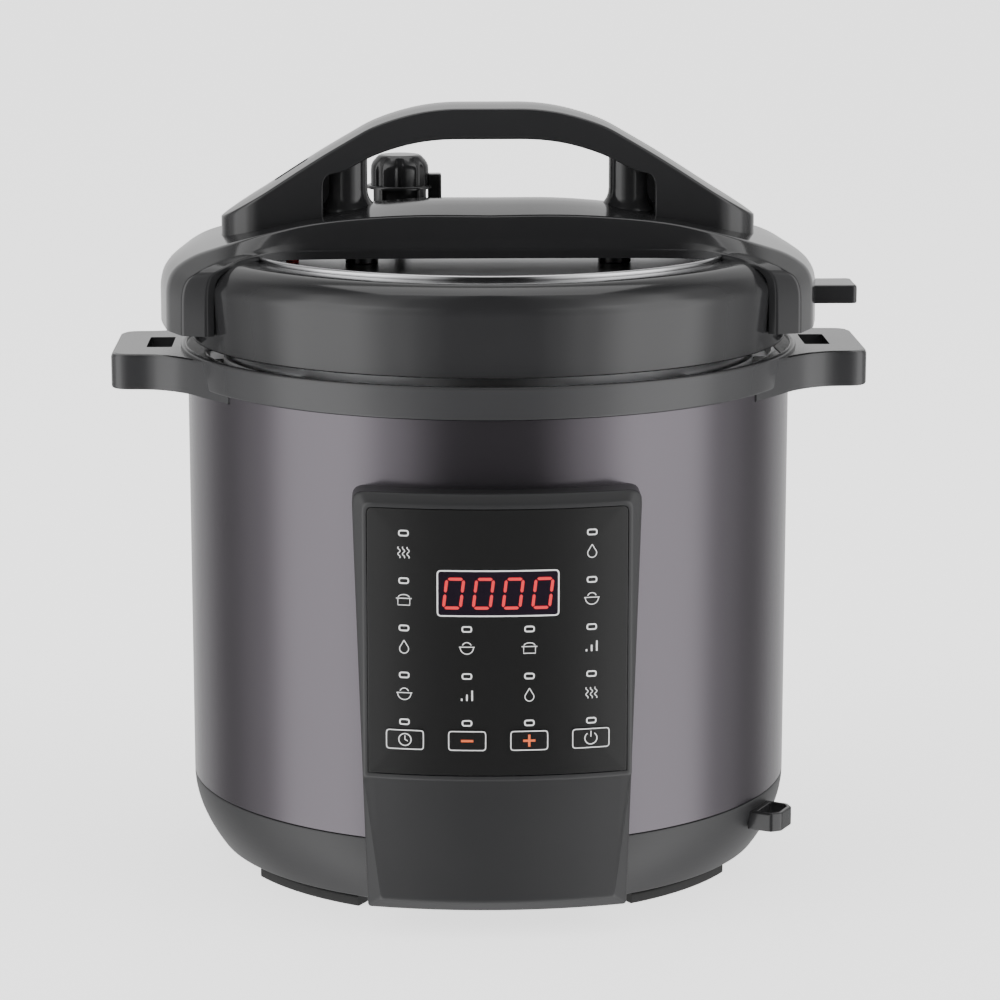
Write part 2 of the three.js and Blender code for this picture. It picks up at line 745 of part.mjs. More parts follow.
function pressureSwitch() {
  return block([-11, -6, bowlFloor + GAP], [11, 6, bowlFloor + 14]).add(
    block([-2, -3, bowlFloor + 13], [2, 3, beamLevel - 3]),
  );
}

function thermalFuse() {
  const fuse = bar(0, 0, 2.4, -12, 12, 10).rotate([0, 90, 0]);
  const clip = block([-4, -6, -3.4], [4, 6, 3.2]);
  return fuse.add(clip);
}

function powerBoard() {
  const level = bowlFloor + 3;
  const board = block([-42, -20, level], [42, 20, level + 1.6]);
  const relay = block([-38, -14, level + 1], [-20, 10, level + 14]);
  const transformer = block([-12, -15, level + 1], [12, 12, level + 17]);
  const capacitor = bar(26, -4, 6, level + 1, level + 15);
  const stand = [-38, 38].map((x) => bar(x, 16, 2.5, bowlFloor + GAP, level + 0.5, 10));
  return joined([board, relay, transformer, capacitor, ...stand]);
}

function powerInlet() {
  const front = BODY_RADIUS + 1;
  const half = INLET_WIDTH / 2;
  const low = INLET_LEVEL - INLET_HEIGHT / 2;
  const high = INLET_LEVEL + INLET_HEIGHT / 2;
  const shell = block([-half, front - INLET_DEPTH, low], [half, front, high]);
  const cavity = block(
    [-half + INLET_WALL, front - INLET_DEPTH + INLET_BACK, low + INLET_WALL],
    [half - INLET_WALL, front + 1, high - INLET_WALL],
  );
  return shell.subtract(cavity);
}

function inletPin() {
  return block([-PIN_HALF_WIDTH, 0, -PIN_HALF_HEIGHT], [PIN_HALF_WIDTH, INLET_DEPTH - 7, PIN_HALF_HEIGHT]);
}

// ---- Control housing ----

function chinBlock(inset) {
  const front = CHIN_FACE_RADIUS - inset;
  const top = chinTop - inset;
  const foot = CHIN_FOOT_LEVEL + inset;
  const topHalf = CHIN_TOP_HALF_WIDTH - inset;
  const footHalf = CHIN_FOOT_HALF_WIDTH - inset;
  const bevelStart = topHalf - CHIN_BEVEL;
  const rise = Math.asin(bevelStart / front);
  const back = -BODY_RADIUS + 32;
  const plan = new THREE.Shape();
  plan.moveTo(topHalf, back);
  plan.lineTo(-topHalf, back);
  plan.lineTo(-topHalf, chinCentreY - front * Math.cos(rise) + CHIN_BEVEL);
  plan.absarc(0, chinCentreY, front, -Math.PI / 2 - rise, -Math.PI / 2 + rise, false);
  plan.lineTo(topHalf, chinCentreY - front * Math.cos(rise) + CHIN_BEVEL);
  const elevation = [
    [-footHalf, foot],
    [footHalf, foot],
    [topHalf, top],
    [-topHalf, top],
  ];
  const ends = prism(elevation, -chinFront - 5, -BODY_RADIUS + 40, "front");
  return prism(plan, foot, top, "top", 10).intersect(ends);
}

function controlHousing() {
  const margin = 5;
  const middle = (overlayTop + overlayBottom) / 2;
  const seatDepth = OVERLAY_THICKNESS + GAP;
  const seatWidth = 2 * (OVERLAY_HALF_WIDTH + GAP);
  const seat = facePatch(0, middle, seatWidth, OVERLAY_HEIGHT + 2 * GAP, OVERLAY_CORNER, -3, seatDepth);
  const opening = facePatch(
    0,
    middle,
    2 * (OVERLAY_HALF_WIDTH - margin),
    OVERLAY_HEIGHT - 2 * margin,
    OVERLAY_CORNER,
    -3,
    8,
  );
  return cut(chinBlock(0), [chinBlock(PLASTIC), bodyEnvelope(GAP), seat, opening]);
}

function keyCentre(index) {
  return (index - 1.5) * KEY_PITCH;
}

function panelOverlay() {
  const middle = (overlayTop + overlayBottom) / 2;
  const width = 2 * OVERLAY_HALF_WIDTH;
  const film = facePatch(0, middle, width, OVERLAY_HEIGHT, OVERLAY_CORNER - GAP, 0, OVERLAY_THICKNESS);
  const holes = [0, 1, 2, 3].map((i) =>
    facePatch(keyCentre(i), keyLevel, KEY_WIDTH + 2 * GAP, KEY_HEIGHT + 2 * GAP, 1.8, -3, 3),
  );
  return cut(film, holes);
}

function key(index) {
  return facePatch(keyCentre(index), keyLevel, KEY_WIDTH, KEY_HEIGHT, 1.5, -GAP, KEY_DEPTH);
}

const boardFront = BOARD_DEPTH - chinFront;
const displayLevel = overlayTop - 35;

function faceY(x) {
  return chinCentreY - Math.sqrt(CHIN_FACE_RADIUS * CHIN_FACE_RADIUS - x * x);
}

function controlBoard() {
  const low = overlayBottom + 8;
  const high = overlayTop - 8;
  const board = block([-47, boardFront, low], [47, boardFront + 1.6, high]);
  const switches = [0, 1, 2, 3].map((i) => {
    const x = keyCentre(i);
    const reach = faceY(Math.abs(x) + KEY_WIDTH / 2) + KEY_DEPTH + KEY_TRAVEL + 2 * GAP;
    const front = Math.min(reach, boardFront - 0.5);
    return block([x - 2.5, front, keyLevel - 2.5], [x + 2.5, boardFront + 1, keyLevel + 2.5]);
  });
  return joined([board, ...switches]);
}

function displayModule() {
  const near = faceY(DISPLAY_HALF_WIDTH) + OVERLAY_THICKNESS + DISPLAY_CLEARANCE;
  const far = boardFront - GAP;
  return block(
    [-DISPLAY_HALF_WIDTH, near, displayLevel - DISPLAY_HALF_HEIGHT],
    [DISPLAY_HALF_WIDTH, far, displayLevel + DISPLAY_HALF_HEIGHT],
  );
}

// ---- Rear and side fittings ----

function condensationCup() {
  const low = cupTop - CUP_HEIGHT;
  const span = 2 * CUP_HALF_ANGLE;
  const innerSpan = span - 1.6;
  const inner = cupInner + 2 * GAP;
  const shell = ringSlice(inner, cupOuter, 90, span, low, cupTop, 8);
  const floor = low + CUP_WALL;
  const cavity = ringSlice(inner + CUP_WALL, cupOuter - CUP_WALL, 90, innerSpan, floor, cupTop + 1, 8);
  return shell.subtract(cavity);
}

function cupBracket() {
  return ringSlice(BODY_RADIUS + GAP, cupInner, 90, 16, cupTop - 26, cupTop - 4, 4);
}

function spoonHolder() {
  const near = BODY_RADIUS - 1;
  const low = SPOON_LEVEL;
  const high = SPOON_LEVEL + SPOON_HEIGHT;
  const middle = near + SPOON_LENGTH / 2;
  const holeLength = SPOON_LENGTH - SPOON_WALL - SPOON_FRONT_WALL;
  const holeMiddle = near + SPOON_WALL + holeLength / 2;
  const holeWidth = SPOON_WIDTH - 2 * SPOON_WALL;
  const outer = prism(chamferedRectangle(middle, 0, SPOON_LENGTH, SPOON_WIDTH, SPOON_CHAMFER), low, high);
  const hole = chamferedRectangle(holeMiddle, 0, holeLength, holeWidth, SPOON_CHAMFER - 1);
  const loop = outer.subtract(prism(hole, low - 1, high + 1));
  return loop.rotate([0, 0, SPOON_ANGLE]).subtract(bodyEnvelope(GAP));
}

// ---- Lid ----

const panRadius = skirtRadius;
const pipeX = STEAM_VALVE_X;
const pipeY = STEAM_VALVE_Y;
const panBottom = panTop - SHEET;
const skirtBottom = lidLugTop - LUG_THICKNESS;
// The seal turns inside the skirt, whose flats stand further in than its corners.
const sealRadius = (panRadius - SHEET) * Math.cos(Math.PI / ROUND) - GAP;

function lidPan() {
  const shell = turned([
    [0, panBottom],
    [beadRadius - 4, panBottom],
    [panRadius - SHEET, panTop - 10],
    [panRadius - SHEET, skirtBottom],
    [panRadius, skirtBottom],
    [panRadius, panTop - 9],
    [beadRadius - 3, panTop],
    [0, panTop],
  ]);
  const lugs = lugAngles(0).map((angle) =>
    ringSlice(panRadius - 0.6, lidLugRadius, angle, LID_LUG_SPAN, skirtBottom, lidLugTop, 4),
  );
  const pipeHole = bar(pipeX, pipeY, STEAM_PIPE_RADIUS + GAP, panTop - 5, panTop + 5);
  const floatHole = bar(floatX, 0, FLOAT_RADIUS + 1.2, panTop - 5, panTop + 5);
  const screwHoles = [-1, 1].map((side) =>
    bar(side * POST_SPACING, 0, SCREW_RADIUS + GAP, panTop - 5, panTop + 5),
  );
  return cut(joined([shell, ...lugs]), [pipeHole, floatHole, ...screwHoles]);
}

function lidRing() {
  const r = BODY_RADIUS;
  const inner = beadRadius + BEAD_RADIUS + GAP;
  return turned([
    [r - LID_LIP, lidBottom],
    ...lidShoulderCurve(0),
    [inner, lidTop],
    [inner, panTop + GAP],
    [inner + 2, panTop - 2],
    [r - LID_SHOULDER_WIDTH, lidTop - 4],
    [r - 7.6, lidShoulder + 5.4],
    [r - PLASTIC, lidShoulder],
    [r - LID_LIP - PLASTIC, lidBottom],
  ]);
}

function lidBead() {
  const r = beadRadius;
  const half = BEAD_RADIUS;
  return turned([
    [r - half * 0.6, panTop + GAP],
    [r + half * 0.6, panTop + GAP],
    [r + half, lidTop],
    [r + half * 0.5, lidTop + half],
    [r - half * 0.5, lidTop + half],
    [r - half, lidTop],
  ]);
}

function lidBridge() {
  const shell = cut(bridgeBlock(0), [bridgeBlock(PLASTIC)]);
  const roof = bridgeBlock(PLASTIC / 2);
  const posts = [-1, 1].map((side) =>
    bar(side * POST_SPACING, 0, POST_RADIUS, panTop + GAP, bridgeTop, 20).intersect(roof),
  );
  const core = joined([cut(shell, [lidEnvelope(GAP)]), ...posts]);
  const footCut = block([-200, -100, 0], [200, 100, legBottom]);
  const bores = [-1, 1].map((side) =>
    bar(side * POST_SPACING, 0, SCREW_RADIUS + GAP, panTop, panTop + SCREW_LENGTH + 4),
  );
  const floatBore = bar(floatX, 0, FLOAT_RADIUS + 1.2, panTop, bridgeTop + 5);
  return cut(core, [footCut, ...bores, floatBore]);
}

function gripOutline() {
  const end = gripHalfLength;
  const shoulder = bridgeTop - 6;
  const under = gripTop - GRIP_THICKNESS;
  const finger = FINGER_HALF_WIDTH;
  const spring = bridgeTop + 9.5;
  const shape = new THREE.Shape();
  shape.moveTo(-end, bridgeTop - 24);
  shape.lineTo(-end, shoulder);
  shape.lineTo(-end + 20, shoulder + GRIP_END_RISE);
  shape.bezierCurveTo(-end + 48, gripTop - 14, -42, gripTop, 0, gripTop);
  shape.bezierCurveTo(42, gripTop, end - 48, gripTop - 14, end - 20, shoulder + GRIP_END_RISE);
  shape.lineTo(end, shoulder);
  shape.lineTo(end, bridgeTop - 24);
  shape.lineTo(finger, bridgeTop - 24);
  shape.lineTo(finger, spring);
  shape.bezierCurveTo(finger - 26, under - 6, 34, under, 0, under);
  shape.bezierCurveTo(-34, under, -finger + 26, under - 6, -finger, spring);
  shape.lineTo(-finger, bridgeTop - 24);
  return shape;
}

function lidGrip() {
  const half = GRIP_HALF_DEPTH;
  const arch = prism(gripOutline(), -half, half, "front", 10);
  const plan = roundedRectangle(0, 0, 2 * gripHalfLength, 2 * half, half - 0.5);
  const columns = [-1, 1].map((side) =>
    bar(side * COLUMN_OFFSET, 0, COLUMN_RADIUS, bridgeTop - 10, bridgeTop + 16, 20),
  );
  const blank = joined([arch.intersect(prism(plan, 0, gripTop + 1, "top", 6)), ...columns]);
  const well = bar(floatX, 0, 7, 0, bridgeTop + 1);
  const window = block(
    [floatX - WINDOW_LENGTH / 2, -WINDOW_HALF_WIDTH, bridgeTop - 5],
    [floatX + WINDOW_LENGTH / 2, WINDOW_HALF_WIDTH, gripTop],
  );
  return cut(blank, [bridgeBlock(-GAP), well, window]);
}

function lidTab() {
  const outer = legRadius + TAB_REACH;
  const blade = prism(
    roundedRectangle((outer + legRadius - 6) / 2, 0, outer - legRadius + 6, 2 * TAB_HALF_WIDTH, 2),
    lidBottom + TAB_RISE,
    lidBottom + TAB_RISE + TAB_THICKNESS,
    "top",
    3,
  );
  return blade.subtract(bridgeBlock(-GAP));
}

function steamPipe() {
  const top = panTop + 24;
  return turned(
    [
      [1.5, panBottom - 6],
      [STEAM_PIPE_RADIUS, panBottom - 6],
      [STEAM_PIPE_RADIUS, panTop + GAP],
      [STEAM_PIPE_RADIUS + 3, panTop + GAP],
      [STEAM_PIPE_RADIUS + 3, panTop + 4],
      [STEAM_PIPE_RADIUS, panTop + 4],
      [STEAM_PIPE_RADIUS - 1, top],
      [1.5, top],
    ],
    FINE,
  );
}

// The weighted knob: a skirt with steam windows, a fluted cap and a lever.
function steamValveKnob() {
  const low = panTop + 15;
  const skirtTop = low + KNOB_SKIRT_HEIGHT;
  const top = low + KNOB_HEIGHT;
  const bore = STEAM_PIPE_RADIUS + 1;
  const shell = turned(
    [
      [bore, low],
      [KNOB_SKIRT_RADIUS, low],
      [KNOB_SKIRT_RADIUS, skirtTop],
      [KNOB_CAP_RADIUS, skirtTop],
      [KNOB_CAP_RADIUS, top - 4],
      [KNOB_CAP_RADIUS - 4, top],
      [0, top],
      [0, low + 11],
      [bore, low + 11],
    ],
    24,
  );
  const window = block([-20, -6, low + 2], [20, 6, skirtTop - 3]);
  const windows = [0, 90].map((angle) => window.rotate([0, 0, angle]));
  const hubRadius = bore + 2.2;
  const hubTop = skirtTop - 1;
  const hub = turned([[bore, low], [hubRadius, low], [hubRadius, hubTop], [bore, hubTop]], 24);
  const lever = block([KNOB_CAP_RADIUS - 1, -4, low + 6], [KNOB_SKIRT_RADIUS + 4, 4, skirtTop + 6]);
  return joined([cut(shell, windows), hub, lever]);
}

const floatBottom = panBottom - FLOAT_TRAVEL - FLOAT_SEAL - 3 * GAP - 2;

function floatValvePin() {
  const low = floatBottom;
  return turned(
    [
      [0, low],
      [5, low],
      [5, low + 2],
      [FLOAT_RADIUS, low + 2],
      [FLOAT_RADIUS, low + FLOAT_LENGTH],
      [0, low + FLOAT_LENGTH],
    ],
    FINE,
  );
}

function floatValveSeal() {
  const low = floatBottom + 2 + GAP;
  const high = low + FLOAT_SEAL;
  const inner = FLOAT_RADIUS + GAP;
  return turned([[inner, low], [inner + 2, low], [inner + 2, high], [inner, high]], FINE);
}

function sealingRing() {
  const low = rimTop + GAP;
  const outer = sealRadius;
  const inner = innerPotRadius - 2;
  return turned([
    [inner + 3, low],
    [outer - 2, low],
    [outer, low + 3],
    [outer, low + SEAL_HEIGHT],
    [outer - SEAL_WALL, low + SEAL_HEIGHT],
    [outer - SEAL_WALL, low + SEAL_LIP_HEIGHT],
    [inner, low + SEAL_LIP_HEIGHT],
    [inner, low + 2],
  ]);
}

// The steel ring that holds the sealing ring against the lid.
function sealRack() {
  const low = rimTop + SEAL_LIP_HEIGHT + 2 * GAP;
  const outer = sealRadius - SEAL_WALL - GAP;
  return turned([
    [outer - RACK_WIDTH, low],
    [outer, low],
    [outer, low + RACK_HEIGHT],
    [outer - RACK_WALL, low + RACK_HEIGHT],
    [outer - RACK_WALL, low + RACK_WALL],
    [outer - RACK_WIDTH, low + RACK_WALL],
  ]);
}

function ventShield() {
  const low = panBottom - 20;
  const shell = turned(
    [
      [0, low],
      [10, low],
      [11, low + 2],
      [11, panBottom - GAP],
      [9.5, panBottom - GAP],
      [9.5, low + 2],
      [0, low + 1.5],
    ],
    20,
  );
  const slit = block([-12, -1.5, low + 3], [12, 1.5, panBottom - 4]);
  const slits = [0, 60, 120].map((angle) => slit.rotate([0, 0, angle]));
  return cut(shell, slits);
}

// ---- Assembly ----

place(body, "base_bowl", baseBowl(), "blackSatin");
[
  ["foot_front_right", -45],
  ["foot_rear_right", 45],
  ["foot_rear_left", 135],
  ["foot_front_left", 225],
].forEach(([name, angle]) => place(body, name, foot(), "rubber", [0, 0, 0], angle * DEGREE));
place(body, "bottom_cover", bottomCover(), "blackSatin");
coverScrewAngles.forEach((angle, i) => {
  const [x, y] = around(coverScrewRadius, angle);
  place(body, `cover_screw_${i + 1}`, screw(SCREW_LENGTH), "steel", [x, y, coverBottom - GAP]);
});
place(body, "outer_sleeve", outerSleeve(), "darkPaint");
place(body, "body_ring", bodyRing(), "blackGloss");
place(body, "outer_pot", outerPot(), "steel");
place(body, "heating_plate", heatingPlate(), "aluminium");
place(body, "temperature_sensor", temperatureSensor(), "aluminium");
place(body, "sensor_spring", sensorSpring(), "steel");
place(body, "spring_beam", springBeam(), "steel");
[-1, 1].forEach((side) => {
  const name = side < 0 ? "beam_screw_left" : "beam_screw_right";
  const fixing = screw(SCREW_LENGTH).rotate([180, 0, 0]);
  place(body, name, fixing, "steel", [side * beamReach, 0, beamLevel + BEAM_THICKNESS + GAP]);
});
place(body, "pressure_switch", pressureSwitch(), "blackSatin", [78, 0, 0]);
place(body, "thermal_fuse", thermalFuse(), "aluminium", [0, -40, heaterBottom - 4]);
place(body, "power_board", powerBoard(), "circuit", [0, -92, 0]);
place(body, "power_inlet", powerInlet(), "blackSatin");
[
  ["inlet_pin_line", -PIN_SPACING, 0],
  ["inlet_pin_earth", 0, EARTH_PIN_RISE],
  ["inlet_pin_neutral", PIN_SPACING, 0],
].forEach(([name, x, rise]) => {
  const back = BODY_RADIUS + 1 - INLET_DEPTH + INLET_BACK + GAP;
  place(body, name, inletPin(), "steel", [x, back, INLET_LEVEL + rise]);
});
place(body, "cup_bracket", cupBracket(), "blackSatin");
place(body, "condensation_cup", condensationCup(), "clearPlastic");
place(body, "spoon_holder", spoonHolder(), "blackSatin");

place(panel, "control_housing", controlHousing(), "blackSatin");
place(panel, "panel_overlay", panelOverlay(), "blackGloss");
place(panel, "control_board", controlBoard(), "circuit");
place(panel, "display_module", displayModule(), "red");
["key_delay", "key_minus", "key_plus", "key_cancel"].forEach((name, i) => {
  place(panel, name, key(i), i === 1 || i === 2 ? "orange" : "blackGloss");
});

place(body, "inner_pot", innerPot(), "nonStick");

place(lid, "lid_pan", lidPan(), "steel");
place(lid, "lid_ring", lidRing(), "blackGloss");
place(lid, "lid_bead", lidBead(), "steel");
place(lid, "lid_bridge", lidBridge(), "blackGloss");
place(lid, "lid_grip", lidGrip(), "blackGloss");
place(lid, "lid_tab", lidTab(), "blackGloss");
place(lid, "steam_pipe", steamPipe(), "steel", [pipeX, pipeY, 0]);
place(lid, "steam_valve_knob", steamValveKnob(), "blackGloss", [pipeX, pipeY, 0]);
place(lid, "float_valve_pin", floatValvePin(), "red", [floatX, 0, 0]);
place(lid, "float_valve_seal", floatValveSeal(), "silicone", [floatX, 0, 0]);
place(lid, "sealing_ring", sealingRing(), "silicone");
place(lid, "seal_rack", sealRack(), "steel");
place(lid, "vent_shield", ventShield(), "steel", [pipeX, pipeY, 0]);
[-1, 1].forEach((side) => {
  const name = side < 0 ? "bridge_screw_left" : "bridge_screw_right";
  place(lid, name, screw(SCREW_LENGTH), "steel", [side * POST_SPACING, 0, panBottom - GAP]);
});

export default cooker;
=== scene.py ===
"""Looks of an electric pressure cooker, built as smooth skins round its fixed frame.

Lengths are in millimetres inside the classes and become metres when a skin is put into the scene.
"""

import logging
from dataclasses import dataclass, field, replace
from enum import Enum
from typing import Iterable, Sequence

import bmesh
import bpy
import numpy as np
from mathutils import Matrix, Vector


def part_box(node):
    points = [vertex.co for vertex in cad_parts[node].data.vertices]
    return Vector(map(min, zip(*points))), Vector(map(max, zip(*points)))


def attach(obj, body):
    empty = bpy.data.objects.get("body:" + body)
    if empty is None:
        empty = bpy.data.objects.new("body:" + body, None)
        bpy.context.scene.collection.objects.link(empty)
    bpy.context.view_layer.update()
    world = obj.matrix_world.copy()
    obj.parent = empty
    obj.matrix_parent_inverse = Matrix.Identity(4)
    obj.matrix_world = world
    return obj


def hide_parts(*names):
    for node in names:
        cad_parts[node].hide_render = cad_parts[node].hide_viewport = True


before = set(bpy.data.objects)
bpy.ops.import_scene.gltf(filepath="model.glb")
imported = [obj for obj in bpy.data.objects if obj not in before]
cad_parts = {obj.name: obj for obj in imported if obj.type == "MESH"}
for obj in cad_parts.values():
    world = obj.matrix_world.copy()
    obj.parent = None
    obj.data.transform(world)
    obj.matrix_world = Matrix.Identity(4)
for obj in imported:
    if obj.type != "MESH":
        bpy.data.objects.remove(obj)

logging.basicConfig(level=logging.INFO, format="%(message)s")
LOG = logging.getLogger("cooker")
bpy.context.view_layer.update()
MM = 0.001
Array = np.ndarray


# ---- Surfaces ----


@dataclass
class Skin:
    """A closed surface.

    Attributes:
        points: positions in millimetres, one row each.
        faces: point numbers of each face.
    """

    points: Array
    faces: list

    def moved(self, x: float = 0.0, y: float = 0.0, z: float = 0.0) -> "Skin":
        """The same skin, shifted."""
        return Skin(self.points + np.array([x, y, z]), self.faces)

    def spun(self, degrees: float) -> "Skin":
        """The same skin, turned about Z."""
        angle = np.radians(degrees)
        turn = np.array([[np.cos(angle), np.sin(angle), 0], [-np.sin(angle), np.cos(angle), 0], [0, 0, 1]])
        return Skin(self.points @ turn, self.faces)


def smooth_line(controls: Array, steps: int = 8) -> Array:
    """A smooth line that a control polygon draws.

    Each inner control is the handle of a quadratic curve between the middles of its two sides,
    (1-t)^2 a + 2t(1-t) b + t^2 c, and the two end halves stay straight.

    Args:
        controls: control points, along the second last axis.
        steps: samples for each inner control.

    Returns:
        The sampled points, along the second last axis.
    """
    controls = np.asarray(controls, float)
    middles = (controls[..., 1:, :] + controls[..., :-1, :]) / 2
    t = (np.arange(steps) / steps)[:, None]
    start = middles[..., :-1, None, :]
    end = middles[..., 1:, None, :]
    handle = controls[..., 1:-1, None, :]
    curve = (1 - t) ** 2 * start + 2 * t * (1 - t) * handle + t**2 * end
    flat = curve.reshape(*curve.shape[:-3], -1, curve.shape[-1])
    return np.concatenate([controls[..., :1, :], flat, middles[..., -1:, :], controls[..., -1:, :]], axis=-2)


def soften(corners: Array, reach: object, steps: int = 4, between: int = 1, closed: bool = True) -> Array:
    """Rounds the corners of outlines or sections.

    A corner becomes a quadratic curve that starts and ends on its two sides, reach away from it,
    and never past 0.48 of a side.

    Args:
        corners: corner points, along the second last axis.
        reach: how far the rounding reaches, one number or one for each corner.
        steps: samples of each rounding.
        between: parts into which each straight run is divided.
        closed: whether the last corner joins the first.

    Returns:
        The rounded points, along the second last axis.
    """
    corners = np.asarray(corners, float)
    before = np.roll(corners, 1, axis=-2) - corners
    after = np.roll(corners, -1, axis=-2) - corners
    if not closed:
        before[..., 0, :] = 0
        after[..., -1, :] = 0
    reach = np.broadcast_to(reach, corners.shape[:-1])[..., None]

    def along(side: Array) -> Array:
        """The point at reach along a side."""
        length = np.linalg.norm(side, axis=-1, keepdims=True)
        return corners + side * np.minimum(reach / np.maximum(length, 1e-9), 0.48)

    start = along(before)
    end = along(after)
    t = np.linspace(0, 1, steps)[:, None]
    first, handle, last = start[..., None, :], corners[..., None, :], end[..., None, :]
    arcs = (1 - t) ** 2 * first + 2 * t * (1 - t) * handle + t**2 * last
    s = (np.arange(1, between) / between)[:, None]
    runs = last + (np.roll(start, -1, axis=-2) - end)[..., None, :] * s
    points = np.concatenate([arcs, runs], axis=-2)
    points = points.reshape(*corners.shape[:-2], -1, corners.shape[-1])
    return points if closed or between == 1 else points[..., : -(between - 1), :]


def weave(grid: Array, around: bool, loop: bool, capped: bool = True) -> Skin:
    """Joins a grid of points into a skin of four-sided faces.

    Args:
        grid: points by row and column.
        around: whether the last row joins the first.
        loop: whether the last column joins the first.
        capped: whether open end rows get a face.

    Returns:
        The skin.
    """
    rows, columns = grid.shape[:2]
    i = np.arange(rows if around else rows - 1)[:, None]
    j = np.arange(columns if loop else columns - 1)[None, :]
    below = ((i + 1) % rows) * columns
    right = (j + 1) % columns
    faces = np.stack([i * columns + j, i * columns + right, below + right, below + j], axis=-1)
    faces = faces.reshape(-1, 4).tolist()
    if capped and not around:
        faces.append(list(range(columns))[::-1])
        faces.append(list(range((rows - 1) * columns, rows * columns)))
    return Skin(grid.reshape(-1, 3), faces)


def turned(
    profile: Sequence, soft: object = 0.0, start: float = 0.0, span: float = 360.0, parts: int = 180
) -> Skin:
    """A profile turned about Z: each point (r, z) goes to (r cos a, r sin a, z) at each angle a.

    Args:
        profile: corners (radius, height). It closes on itself, or ends on the axis at both ends.
        soft: rounding of the corners.
        start: first angle in degrees.
        span: how far it turns, in degrees.
        parts: steps of the turn.

    Returns:
        The skin.
    """
    profile = np.asarray(profile, float)
    closed = profile[0][0] > 0
    section = soften(profile, soft, closed=closed)
    whole = span >= 360
    angles = np.radians(start + np.linspace(0, span, parts + 1))
    angles = angles[:-1] if whole else angles
    radius = section[None, :, 0]
    grid = np.stack(
        [
            radius * np.cos(angles)[:, None],
            radius * np.sin(angles)[:, None],
            np.broadcast_to(section[None, :, 1], (len(angles), len(section))),
        ],
        axis=-1,
    )
    return weave(grid, around=whole, loop=closed)


def rectangle(x: float, y: float, width: float, height: float) -> Array:
    """The four corners of a rectangle about (x, y)."""
    corners = np.array([[-1, -1], [1, -1], [1, 1], [-1, 1]])
    return corners * np.array([width, height]) / 2 + np.array([x, y])


def outline(corners: Array, soft: object = 0.0, steps: int = 6, between: int = 8) -> Array:
    """A rounded outline with its straight runs divided."""
    return soften(corners, soft, steps, between)


def stacked(rings: Sequence, soft: object = 0.0, between: int = 1, closed: bool = False) -> Skin:
    """A skin through outlines at given heights, matched point by point.

    Args:
        rings: pairs of an outline, or one centre point, and its height.
        soft: rounding at each ring.
        between: parts of each straight run from ring to ring.
        closed: whether the last ring joins the first, as round a hole.

    Returns:
        The skin. The third coordinate of its points is the height.
    """
    count = max(len(np.atleast_2d(ring)) for ring, _ in rings)
    corners = np.stack(
        [
            np.column_stack([np.broadcast_to(np.atleast_2d(ring), (count, 2)), np.full(count, height)])
            for ring, height in rings
        ],
        axis=1,
    )
    grid = soften(corners, soft, 4, between, closed)
    return weave(grid, around=True, loop=closed)


def plate_of(
    centre: Array, edge: Array, low: float, high: float, soft: object = 0.0, between: int = 1
) -> Skin:
    """A flat plate under an outline, both of whose faces are drawn to a centre."""
    return stacked([(centre, low), (edge, low), (edge, high), (centre, high)], soft, between)


def slab(rings: Sequence) -> Skin:
    """A skin through outlines at given heights, closed by a flat face at each end."""
    grid = np.stack([np.column_stack([ring, np.full(len(ring), height)]) for ring, height in rings])
    return weave(grid, around=False, loop=True)


def upright(skin: Skin) -> Skin:
    """Stands a flat skin up: (a, b, h) becomes (a, h, b)."""
    return Skin(skin.points[:, [0, 2, 1]], skin.faces)


def ribbon(path: Array, width: object, low: float, high: float, closed: bool = False) -> Skin:
    """A thin flat stroke: the path moved by half the width to each side, from low to high.

    Args:
        path: points (a, b) of the middle line.
        width: width of the stroke, one number or one for each point.
        low: height of its foot.
        high: height of its face.
        closed: whether the path closes on itself.

    Returns:
        The skin, with the height as third coordinate.
    """
    path = np.asarray(path, float)
    ahead = np.roll(path, -1, axis=0) - np.roll(path, 1, axis=0)
    if not closed:
        ahead[0] = path[1] - path[0]
        ahead[-1] = path[-1] - path[-2]
    ahead /= np.maximum(np.linalg.norm(ahead, axis=1, keepdims=True), 1e-9)
    across = ahead[:, ::-1] * np.array([-1, 1]) * (np.broadcast_to(width, len(path)) / 2)[:, None]
    corners = [(path - across, low), (path + across, low), (path + across, high), (path - across, high)]
    grid = np.stack([np.column_stack([flat, np.full(len(flat), height)]) for flat, height in corners], axis=1)
    return weave(grid, around=closed, loop=True)


def box_of(node: str) -> tuple[Array, Array]:
    """Lowest and highest corner of a frame node, in millimetres."""
    low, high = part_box(node)
    return np.array(low) / MM, np.array(high) / MM


# ---- Finishes ----


class Grain(Enum):
    """How the fine grain of a finish runs."""

    MOULDED = "moulded"
    SPUN = "spun"
    FLAKE = "flake"


